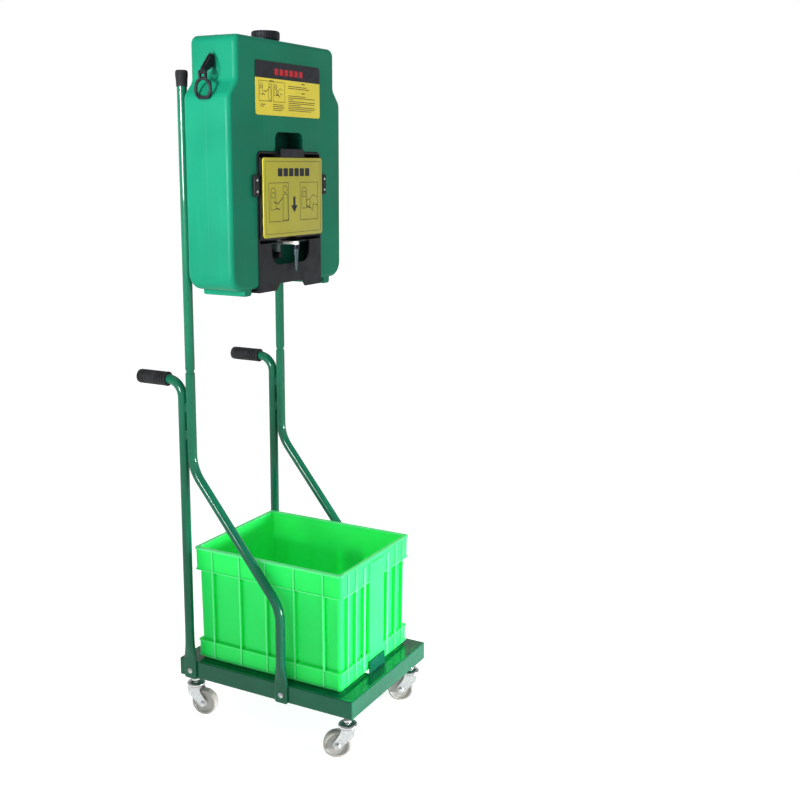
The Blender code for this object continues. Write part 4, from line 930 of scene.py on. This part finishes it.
def build_tank():
    """Blow-moulded shell: feet and neck added, bay, dimples, pocket and filling bore cut out."""
    shell = loft([[(p.x, y, p.y) for p in tank_outline(inset)] for y, inset in tank_depths()])
    added = []
    for sign in (-1, 1):
        near, far = sorted((sign * 0.148, sign * 0.176))
        added.append(pillow(rectangle(near, TANK_BASE - TANK_FOOT, far, TANK_BASE + 0.012, 0.006), "Y",
                            TANK_FRONT + 0.004, TANK_BACK - 0.004, 0.003))
    neck_base = (0, NECK_Y, 0)
    added.append(turned([(NECK_R + 0.004, TANK_TOP - 0.002), (NECK_R + 0.0025, TANK_TOP + 0.0004),
                         (NECK_R + 0.0005, TANK_TOP + 0.0014), (NECK_R - 0.0004, TANK_TOP + 0.0026),
                         (NECK_R - 0.0004, NECK_TOP - 0.0008), (NECK_R - 0.0012, NECK_TOP)],
                        neck_base, sides=48))
    filling = turned([(NECK_BORE, TANK_TOP - 0.10), (NECK_BORE, NECK_TOP + 0.01)], neck_base, sides=48)
    bay = prism(bay_outline(), "Y", TANK_FRONT - 0.03, BAY_BACK)
    shell = carve(shell, added, [bay, teardrop(-1), teardrop(1), tank_pocket(), filling])
    ease_front_edges(shell)
    # the bay and finger recess get the darker painted shade
    paint_faces(shell.faces, in_bay_painted_shade)
    tank = piece("tank_shell", shell, "tank", TANK, "tank_green", ["tank"], smooth_deg=38)
    tank.data.materials.append(TANK_BAY_PAINTED_SHADE)
    even = tank.modifiers.new("even_shading", "WEIGHTED_NORMAL")
    even.keep_sharp = True


def in_bay_painted_shade(face):
    """Whether a face belongs to the bay behind the spray arm or to the finger recess, which get a darker
    painted shade.
    """
    spot = face.calc_center_median()
    return (TANK_FRONT + 0.004 < spot.y < BAY_BACK + 0.001 and abs(spot.x) < BAY_HALF_X + 0.001
            and spot.z < FINGER_TOP + 0.001)


def ease_front_edges(mesh):
    """Round the edges where the arm's bay breaks through the front face."""
    edges = []
    for edge in mesh.edges:
        on_face = all(abs(vert.co.y - TANK_FRONT) < 0.0001 for vert in edge.verts)
        if on_face and len(edge.link_faces) == 2 and edge.calc_face_angle(0.0) > math.radians(60):
            edges.append(edge)
    bmesh.ops.bevel(mesh, geom=edges, offset=0.0032, segments=4, profile=0.5, affect="EDGES",
                    clamp_overlap=True)


def build_neck_thread():
    """The neck's raised screw thread, seen when the cap is off."""
    winds, steps, pitch = 1.6, 64, 0.0045
    rings = []
    for k in range(steps + 1):
        share = k / steps
        turn = math.tau * winds * share
        size = 0.0009 * min(1.0, 8 * share + 0.05, 8 * (1 - share) + 0.05)
        spoke = Vector((math.cos(turn), math.sin(turn), 0))
        centre = Vector((0, NECK_Y, TANK_TOP + 0.0075 + pitch * winds * share))
        rings.append([centre + spoke * (NECK_R - 0.0006 + out * size) + Vector((0, 0, up * size))
                      for out, up in ((0.0, -1.2), (1.0, -0.5), (1.0, 0.5), (0.0, 1.2), (-0.6, 0.0))])
    piece("neck_thread", loft(rings), "tank", TANK, "tank_green")


def build_fill_cap():
    """Screw cap with a fluted skirt, an eased rim and a shallow dished top, and its gasket and tether."""
    low, high = lowest("fill_cap").z, highest("fill_cap").z
    radius = highest("fill_cap").x
    roof, socket = NECK_TOP + 0.0028, NECK_R + 0.0008
    profile = [(0.003, roof), (socket, roof), (socket, low), (radius - 0.0012, low),
               (radius - 0.0003, low + 0.0008), (radius - 0.0003, low + 0.0030), (radius, low + 0.0036),
               (radius, high - 0.0045), (radius - 0.0004, high - 0.0026), (radius - 0.0015, high - 0.0010),
               (radius - 0.0032, high), (radius - 0.0060, high - 0.0001), (radius - 0.0070, high - 0.0009),
               (0.012, high - 0.0013), (0.003, high - 0.0013)]

    def flute(turn, height):
        return -0.0007 if turn % 4 in (0, 1) and low + 0.0033 < height < high - 0.0040 else 0.0

    mesh = turned(profile, (0, NECK_Y, 0), sides=144, wobble=flute)
    fine("fill_cap", mesh, "fill_cap", BLACK, "black_plastic", smooth_deg=40)
    soften(0.0002, "cap_tether", segments=1)
    repaint(BLACK, "cap_tether")
    repaint(RUBBER, "cap_gasket")


def build_carry_lug(name, sign):
    """Rounded lug on the tank's shoulder, with a raised spine and the ring's pivot pin."""
    wall = TANK_HALF_X - SHOULDER_IN + GAP
    pivot = pivot_of(name + "_ring_swing")
    reach, z = abs(pivot.x), pivot.z
    corners = [(wall, z + 0.036, 0.0), (wall + 0.006, z + 0.040, 0.004), (wall + 0.013, z + 0.033, 0.006),
               (reach + 0.0015, z + 0.008, 0.010), (reach + 0.0040, z - 0.002, 0.004),
               (reach - 0.001, z - 0.0045, 0.003), (reach - 0.006, z, 0.004),
               (wall + 0.006, z + 0.012, 0.006), (wall, z + 0.012, 0.0)]
    lug = pillow([(sign * u, v, r) for u, v, r in corners], "Y", pivot.y - 0.005, pivot.y + 0.005, 0.0012)
    pin = turned([(0.0014, -0.0112), (0.0020, -0.0106), (0.0020, 0.0106), (0.0014, 0.0112)],
                 pivot, (0, 1, 0), 20)
    ridge = [(wall + 0.002, z + 0.0385), (wall + 0.0075, z + 0.0405), (wall + 0.0155, z + 0.0335),
             (reach + 0.0028, z + 0.0100), (reach - 0.0010, z + 0.0060), (wall + 0.009, z + 0.030)]
    spine = prism([(sign * u, v) for u, v in ridge], "Y", pivot.y - 0.0018, pivot.y + 0.0018)
    fine(name + "_carry_lug", carve(lug, [pin, spine]), "tank", BLACK, "black_plastic")


def build_carry_ring(name):
    """Flat-footed ring with rounded section, hung from a yoke with two prongs."""
    pivot = pivot_of(name + "_ring_swing")
    centre = Vector((pivot.y, pivot.z - 0.034))
    half_x = 0.0030
    rings = []
    for turn in turns(56):
        spoke = Vector((math.cos(turn), math.sin(turn)))
        out = centre + Vector((spoke.x * 0.0220, spoke.y * 0.0245))
        hole = centre + Vector((spoke.x * 0.0160, spoke.y * 0.0180))
        out.y = max(out.y, centre.y - 0.0210)
        hole.y = max(hole.y, centre.y - 0.0135)
        core, reach = (out + hole) / 2, (out - hole) / 2
        ring = []
        for around in turns(12):
            u, v = squared(around, 0.6)
            point = core + reach * u
            ring.append((pivot.x + half_x * v, point.x, point.y))
        rings.append(ring)
    prongs = []
    foot, top, wide = pivot.z - 0.0150, pivot.z + 0.0042, 0.0042
    for side in (-1, 1):
        near, far = sorted((pivot.y + side * (0.005 + GAP), pivot.y + side * 0.0095))
        prongs.append(pillow([(pivot.x - half_x, foot, 0.0), (pivot.x + half_x, foot, 0.0),
                              (pivot.x + wide, top, 0.0035), (pivot.x - wide, top, 0.0035)], "Y", near, far,
                             0.0007))
    mesh = carve(loft(rings, closed=True), prongs, [bore(0.0023, pivot, (0, 1, 0), 0.02)])
    fine(name + "_carry_ring", mesh, name + "_ring", BLACK, "black_plastic", smooth_deg=45)


# ---- Print ----
class Print:
    """Ink on a CAD node's face towards -Y, as thin plates that end at y."""

    def __init__(self, node, y, thick=0.00012):
        self.mesh = bmesh.new()
        self.low, self.high = span(node)
        self.near, self.far = y - thick, y

    def u(self, share):
        """Place across the node, from its left edge."""
        return self.low.x + share * (self.high.x - self.low.x)

    def v(self, share):
        """Height on the node, from its bottom edge."""
        return self.low.z + share * (self.high.z - self.low.z)

    def patch(self, outline):
        prism(outline, "Y", self.near, self.far, self.mesh)

    def bars(self, x, z, widths, tall, pitch):
        """Plain bars one under another, where lines of small print would stand."""
        for i, wide in enumerate(widths):
            foot = z - i * pitch
            self.patch([(x, foot), (x + wide, foot), (x + wide, foot + tall), (x, foot + tall)])

    def stroke(self, points, width):
        for first, last in zip(points, points[1:]):
            first, last = Vector(first), Vector(last)
            along = (last - first).normalized() * width / 2
            across = Vector((-along.y, along.x))
            self.patch([first - along - across, last + along - across, last + along + across,
                        first - along + across])

    def loop(self, points, width):
        self.stroke(list(points) + [points[0]], width)

    def circle(self, x, z, radius, width):
        self.loop([(x + radius * math.cos(turn), z + radius * math.sin(turn)) for turn in turns(18)], width)

    def frame(self, x0, z0, x1, z1, width):
        self.loop([(x0, z0), (x1, z0), (x1, z1), (x0, z1)], width)

    def heading(self, x, z, count, size, pitch):
        """A row of plain square blocks, where a headline would stand."""
        for i in range(count):
            left = x + i * pitch
            self.patch(rounded(rectangle(left, z, left + size, z + size, size * 0.12), 3))

    def scaled(self, x, z, size, points):
        """Points of a figure, given as shares of its size."""
        return [(x + u * size, z + v * size) for u, v in points]

    def standing_figure(self, x, z, size, width):
        """A plain figure seen from the side, reaching out to the left."""
        self.circle(x, z + size * 0.86, size * 0.10, width)
        self.loop(self.scaled(x, z, size, [(-0.10, 0.72), (0.12, 0.72), (0.14, 0), (-0.12, 0)]), width)
        self.stroke(self.scaled(x, z, size, [(-0.10, 0.64), (-0.36, 0.46), (-0.56, 0.52)]), width * 1.6)

    def station(self, x, z, size, width):
        """A plain outline of a wall unit with its arm."""
        self.loop(self.scaled(x, z, size, [(0, 0.30), (0.24, 0.30), (0.24, 0.78), (0.18, 0.88), (0.06, 0.88),
                                           (0, 0.78)]), width)
        self.frame(x + size * 0.05, z + size * 0.62, x + size * 0.19, z + size * 0.76, width)
        self.stroke(self.scaled(x, z, size, [(0.24, 0.34), (0.42, 0.30)]), width * 1.8)

    def stooping_figure(self, x, z, size, width):
        """A plain figure bent over the unit's arm."""
        self.circle(x + size * 0.36, z + size * 0.46, size * 0.10, width)
        self.stroke(self.scaled(x, z, size, [(0.44, 0.56), (0.62, 0.68), (0.86, 0.60)]), width)
        self.stroke(self.scaled(x, z, size, [(0.42, 0.36), (0.58, 0.22), (0.62, 0.42), (0.86, 0.38)]), width)

    def arrow(self, x, z, tall, wide):
        """A plain arrow that points down."""
        stem = wide * 0.17
        self.patch([(x - stem, z + tall * 0.42), (x + stem, z + tall * 0.42), (x + stem, z + tall),
                    (x - stem, z + tall)])
        self.patch([(x, z), (x + wide / 2, z + tall * 0.46), (x - wide / 2, z + tall * 0.46)])


def build_label():
    """Film label: black header with six marks, and a yellow field with two pictograms and bars of print."""
    node = "instruction_label"
    low, high = span(node)
    film = pillow(rectangle(low.x, low.z, high.x, high.z, 0.007), "Y", low.y, high.y, 0.00015, 8, 1)
    piece("instruction_label_film", film, "tank", LABEL_YELLOW, "label_film", [node])
    lap = 0.0001
    header = Print(node, high.y - lap, high.y - low.y)
    split = header.v(0.685)
    header.patch(rounded([(low.x - lap, split, 0), (high.x + lap, split, 0),
                          (high.x + lap, high.z + lap, 0.007), (low.x - lap, high.z + lap, 0.007)], 8))
    piece("label_header_print", header.mesh, "tank", BLACK_INK, "black_plastic")
    marks = Print(node, low.y - lap)
    u, v = marks.u, marks.v
    marks.heading(u(0.285), v(0.76), 6, 0.0135, u(0.076) - u(0))
    piece("label_heading_print", marks.mesh, "tank", RED_INK, "label_film")
    small = Print(node, low.y, lap)
    base, line, size = v(0.26), 0.0010, v(0.36) - v(0)
    for left, right in ((0.05, 0.235), (0.26, 0.435)):
        small.frame(u(left), base, u(right), v(0.63), line)
    small.station(u(0.065), base + 0.001, size, line)
    small.standing_figure(u(0.205), base + 0.002, v(0.33) - v(0), line)
    small.station(u(0.275), base + 0.001, size, line)
    small.stooping_figure(u(0.265), base + 0.001, size, line)
    for left, foot, wide in ((0.205, 0.63, 0.016), (0.70, 0.63, 0.013), (0.70, 0.45, 0.013)):
        small.bars(u(left), v(foot), [wide], 0.0022, 0.003)
    small.bars(u(0.49), v(0.57), [0.074, 0.086], 0.0014, 0.0042)
    small.bars(u(0.49), v(0.39), [0.070, 0.108, 0.022, 0.110, 0.108, 0.050, 0.112, 0.108, 0.094],
               0.0014, 0.0040)
    small.bars(u(0.07), v(0.19), [0.018, 0.012], 0.0014, 0.0040)
    small.bars(u(0.255), v(0.20), [0.040, 0.044, 0.042, 0.034], 0.0014, 0.0040)
    piece("label_small_print", small.mesh, "tank", BLACK_INK, "black_plastic")


def build_cover():
    """Yellow cover of the spray arm with its border line, marks, two pictograms and a pull arrow."""
    low, high = span("arm_cover")
    shell = pillow(rectangle(low.x, low.z, high.x, high.z, 0.007), "Y", low.y, high.y, 0.0009, 8, 3)
    fine("arm_cover", shell, "arm", COVER_YELLOW, "yellow_plastic")
    marks = Print("arm_cover", low.y)
    u, v = marks.u, marks.v
    edge, line = 0.008, 0.0012
    marks.frame(low.x + edge, low.z + edge, high.x - edge, high.z - edge, 0.0009)
    marks.heading(u(0.235), v(0.765), 6, 0.0180, u(0.092) - u(0))
    base, top = v(0.20), v(0.685)
    for left, right in ((0.085, 0.405), (0.605, 0.92)):
        marks.frame(u(left), base, u(right), top, line)
    size = (top - base) * 0.96
    marks.station(u(0.115), base + 0.002, size, line)
    marks.standing_figure(u(0.350), base + 0.002, size * 0.98, line)
    marks.station(u(0.635), base + 0.002, size, line)
    marks.stooping_figure(u(0.625), base + 0.001, size, line)
    marks.arrow(u(0.505), v(0.30), 0.036, 0.026)
    piece("cover_print", marks.mesh, "arm", BLACK_INK, "black_plastic")


# ---- Spray arm and its housing ----
def build_bracket_screws():
    """Pan-head screws with a cross recess, two on each side bracket."""
    for name in SIDES:
        node = name + "_frame_bracket"
        centre = middle(node)
        for row, lift in (("upper", 0.0125), ("lower", -0.0125)):
            base = (centre.x, lowest(node).y, centre.z + lift)
            head = turned([(0.0016, 0.0006), (0.0026, -0.0002), (0.0027, -0.0007), (0.0023, -0.0015),
                           (0.0013, -0.0019), (0.0004, -0.0020)], base, (0, 1, 0), 28)
            recess = []
            for turn in (0.0, math.pi / 2):
                slot = prism(rounded(rectangle(-0.0016, -0.0030, 0.0016, -0.0011)), "Z", -0.0003, 0.0003)
                slot.transform(Matrix.Translation(base) @ Matrix.Rotation(turn + 0.5, 4, "Y"))
                recess.append(slot)
            piece("%s_bracket_screw_%s" % (name, row), carve(head, cut=recess), "tank", ZINC, "zinc")


def build_housing():
    soften(0.0012, "arm_frame")
    soften(0.0006, "left_frame_bracket", "right_frame_bracket", "arm_tray")
    repaint(BLACK, "arm_frame", "left_frame_bracket", "right_frame_bracket", "arm_tray", "feed_union",
            "outlet_elbow")
    repaint(VINYL, "feed_hose")
    repaint(ZINC, "hinge_pin")
    build_bracket_screws()


def build_spray_heads():
    """White spray heads with a ring of outlets round a domed middle, and their manifold."""
    for name in SIDES:
        node = name + "_spray_head"
        low, high = span(node)
        centre = middle(node)
        front, back = high.y, low.y
        radius = (high.x - low.x) / 2
        profile = [(0.0045, back), (0.0045, back + 0.0035), (0.0070, back + 0.0060), (0.0118, back + 0.0080),
                   (radius - 0.0004, back + 0.0112), (radius, back + 0.0124), (radius, front - 0.0014),
                   (radius - 0.0006, front - 0.0004), (radius - 0.0020, front), (0.0106, front - 0.0002),
                   (0.0100, front - 0.0010), (0.0060, front - 0.0006), (0.0002, front - 0.0002)]
        head = turned(profile, (centre.x, 0, centre.z), (0, 1, 0), 40)
        outlets = bmesh.new()
        for turn in turns(8):
            spot = (centre.x + 0.0072 * math.cos(turn), 0, centre.z + 0.0072 * math.sin(turn))
            turned([(0.0009, front - 0.003), (0.0009, front + 0.001)], spot, (0, 1, 0), 10, mesh=outlets)
        fine(node, carve(head, cut=[outlets]), "arm", WHITE, "white_plastic")
    repaint(VINYL, "spray_manifold")


def build_drain():
    """White drain spout, the flat tapered sleeve that hangs from it, and the band round the sleeve's top."""
    repaint(WHITE, "drain_spout")
    low, high = span("drain_sleeve")
    centre = middle("drain_sleeve")
    count = 18
    rings = []
    for k in range(count):
        share = k / (count - 1)
        place = (centre.x + 0.0004 * math.sin(3.0 * share), centre.y, high.z - (high.z - low.z) * share)
        rings.append(oval(place, 0.0068 - 0.0052 * share ** 2.5, 0.0056 - 0.0042 * share ** 0.7, 24))
    fine("drain_sleeve", loft(rings), "tank", SLEEVE, "grey_rubber", smooth_deg=60)
    band = turned([(0.0066, high.z - 0.0096), (0.0072, high.z - 0.0090), (0.0072, high.z - 0.0012),
                   (0.0066, high.z - 0.0006)], (centre.x, centre.y, 0), sides=28)
    piece("sleeve_band", band, "tank", BLACK, "black_plastic")


# ---- Studio ----
FLOOR_HALF = 60.0
FLOOR_GREY = 0.86
SKY_OVERHEAD = 0.35
CAMERA_PLACE = (-2.118, -1.427, 1.314)
CAMERA_AZIMUTH = math.radians(62.03)
CAMERA_PITCH, CAMERA_ROLL = math.radians(9.94), math.radians(0.243)
CAMERA_LENS, CAMERA_SHIFT = 49.49, (0.0017, -0.0546)


def build_floor():
    """A wide white floor that glows a little, so that it stays white to the horizon."""
    half = FLOOR_HALF
    mesh = bmesh.new()
    mesh.faces.new([mesh.verts.new((x, y, 0.0)) for x, y in ((-half, -half), (half, -half), (half, half),
                                                             (-half, half))])
    floor = object_of("studio_floor", mesh)
    made = Surface("studio_floor", (FLOOR_GREY, FLOOR_GREY, FLOOR_GREY), Emission_Color=(1.0, 1.0, 1.0, 1.0),
                   Emission_Strength=0.70)
    made.mottle(made.noise(3.0), 0.85 / FLOOR_GREY, 0.88 / FLOOR_GREY)
    made.polish(made.noise(5.0), 0.6, 0.7)
    floor.data.materials.append(made.material)


def build_sky():
    """White round the horizon and below it, greyer overhead."""
    world = bpy.data.worlds.new("studio")
    world.use_nodes = True
    tree = world.node_tree
    place = tree.nodes.new("ShaderNodeTexCoord")
    split = tree.nodes.new("ShaderNodeSeparateXYZ")
    lift = tree.nodes.new("ShaderNodeMapRange")
    lift.interpolation_type = "SMOOTHSTEP"
    for socket, value in (("From Min", 0.20), ("From Max", 0.45), ("To Min", 1.0), ("To Max", SKY_OVERHEAD)):
        lift.inputs[socket].default_value = value
    tree.links.new(place.outputs["Generated"], split.inputs["Vector"])
    tree.links.new(split.outputs["Z"], lift.inputs["Value"])
    tree.links.new(lift.outputs["Result"], tree.nodes["Background"].inputs["Strength"])
    tree.nodes["Background"].inputs["Color"].default_value = (1.0, 1.0, 1.0, 1.0)
    bpy.context.scene.world = world
    bpy.context.scene.view_settings.view_transform = "Standard"


def add_light(name, place, target, size, power, spread_deg):
    light = bpy.data.lights.new(name, "AREA")
    light.shape = "RECTANGLE"
    light.size, light.size_y = size
    light.energy = power
    light.spread = math.radians(spread_deg)
    item = bpy.data.objects.new(name, light)
    item.location = place
    aim = Vector(target) - Vector(place)
    item.rotation_euler = aim.to_track_quat("-Z", "Y").to_euler()
    bpy.context.scene.collection.objects.link(item)


def add_lights():
    """A narrow light on the tank's left side, a low one on the crate's front and a weak wide one overhead."""
    add_light("tank_side", (-3.4, 0.04, 1.40), (-0.2, 0.04, 1.32), (0.9, 0.8), 9, 30)
    add_light("front_low", (0.5, -3.2, 0.40), (0, -0.25, 0.28), (0.9, 0.5), 5, 24)
    add_light("top", (-0.3, -0.2, 4.0), (0, 0, 0.8), (2.0, 2.0), 10, 120)


def add_camera():
    """A camera off the left front quarter, level with the tank's middle and tilted down a little."""
    level = math.cos(CAMERA_PITCH)
    forward = Vector((math.sin(CAMERA_AZIMUTH) * level, math.cos(CAMERA_AZIMUTH) * level,
                      -math.sin(CAMERA_PITCH)))
    right = Vector((math.cos(CAMERA_AZIMUTH), -math.sin(CAMERA_AZIMUTH), 0))
    up = right.cross(forward)
    across = right * math.cos(CAMERA_ROLL) + up * math.sin(CAMERA_ROLL)
    upward = up * math.cos(CAMERA_ROLL) - right * math.sin(CAMERA_ROLL)
    data = bpy.data.cameras.new("camera")
    data.sensor_width = 36.0
    data.lens = CAMERA_LENS
    data.shift_x, data.shift_y = CAMERA_SHIFT
    camera = bpy.data.objects.new("camera", data)
    turn = Matrix((across, upward, -forward)).transposed().to_4x4()
    camera.matrix_world = Matrix.Translation(CAMERA_PLACE) @ turn
    bpy.context.scene.collection.objects.link(camera)
    bpy.context.scene.camera = camera


def main():
    build_trolley()
    for place in CASTERS:
        build_caster(place)
    build_crate()
    build_tank()
    build_neck_thread()
    build_fill_cap()
    for name, sign in SIDES.items():
        build_carry_lug(name, sign)
        build_carry_ring(name)
    build_label()
    build_cover()
    build_housing()
    build_spray_heads()
    build_drain()
    build_floor()
    build_sky()
    add_lights()
    add_camera()


main()
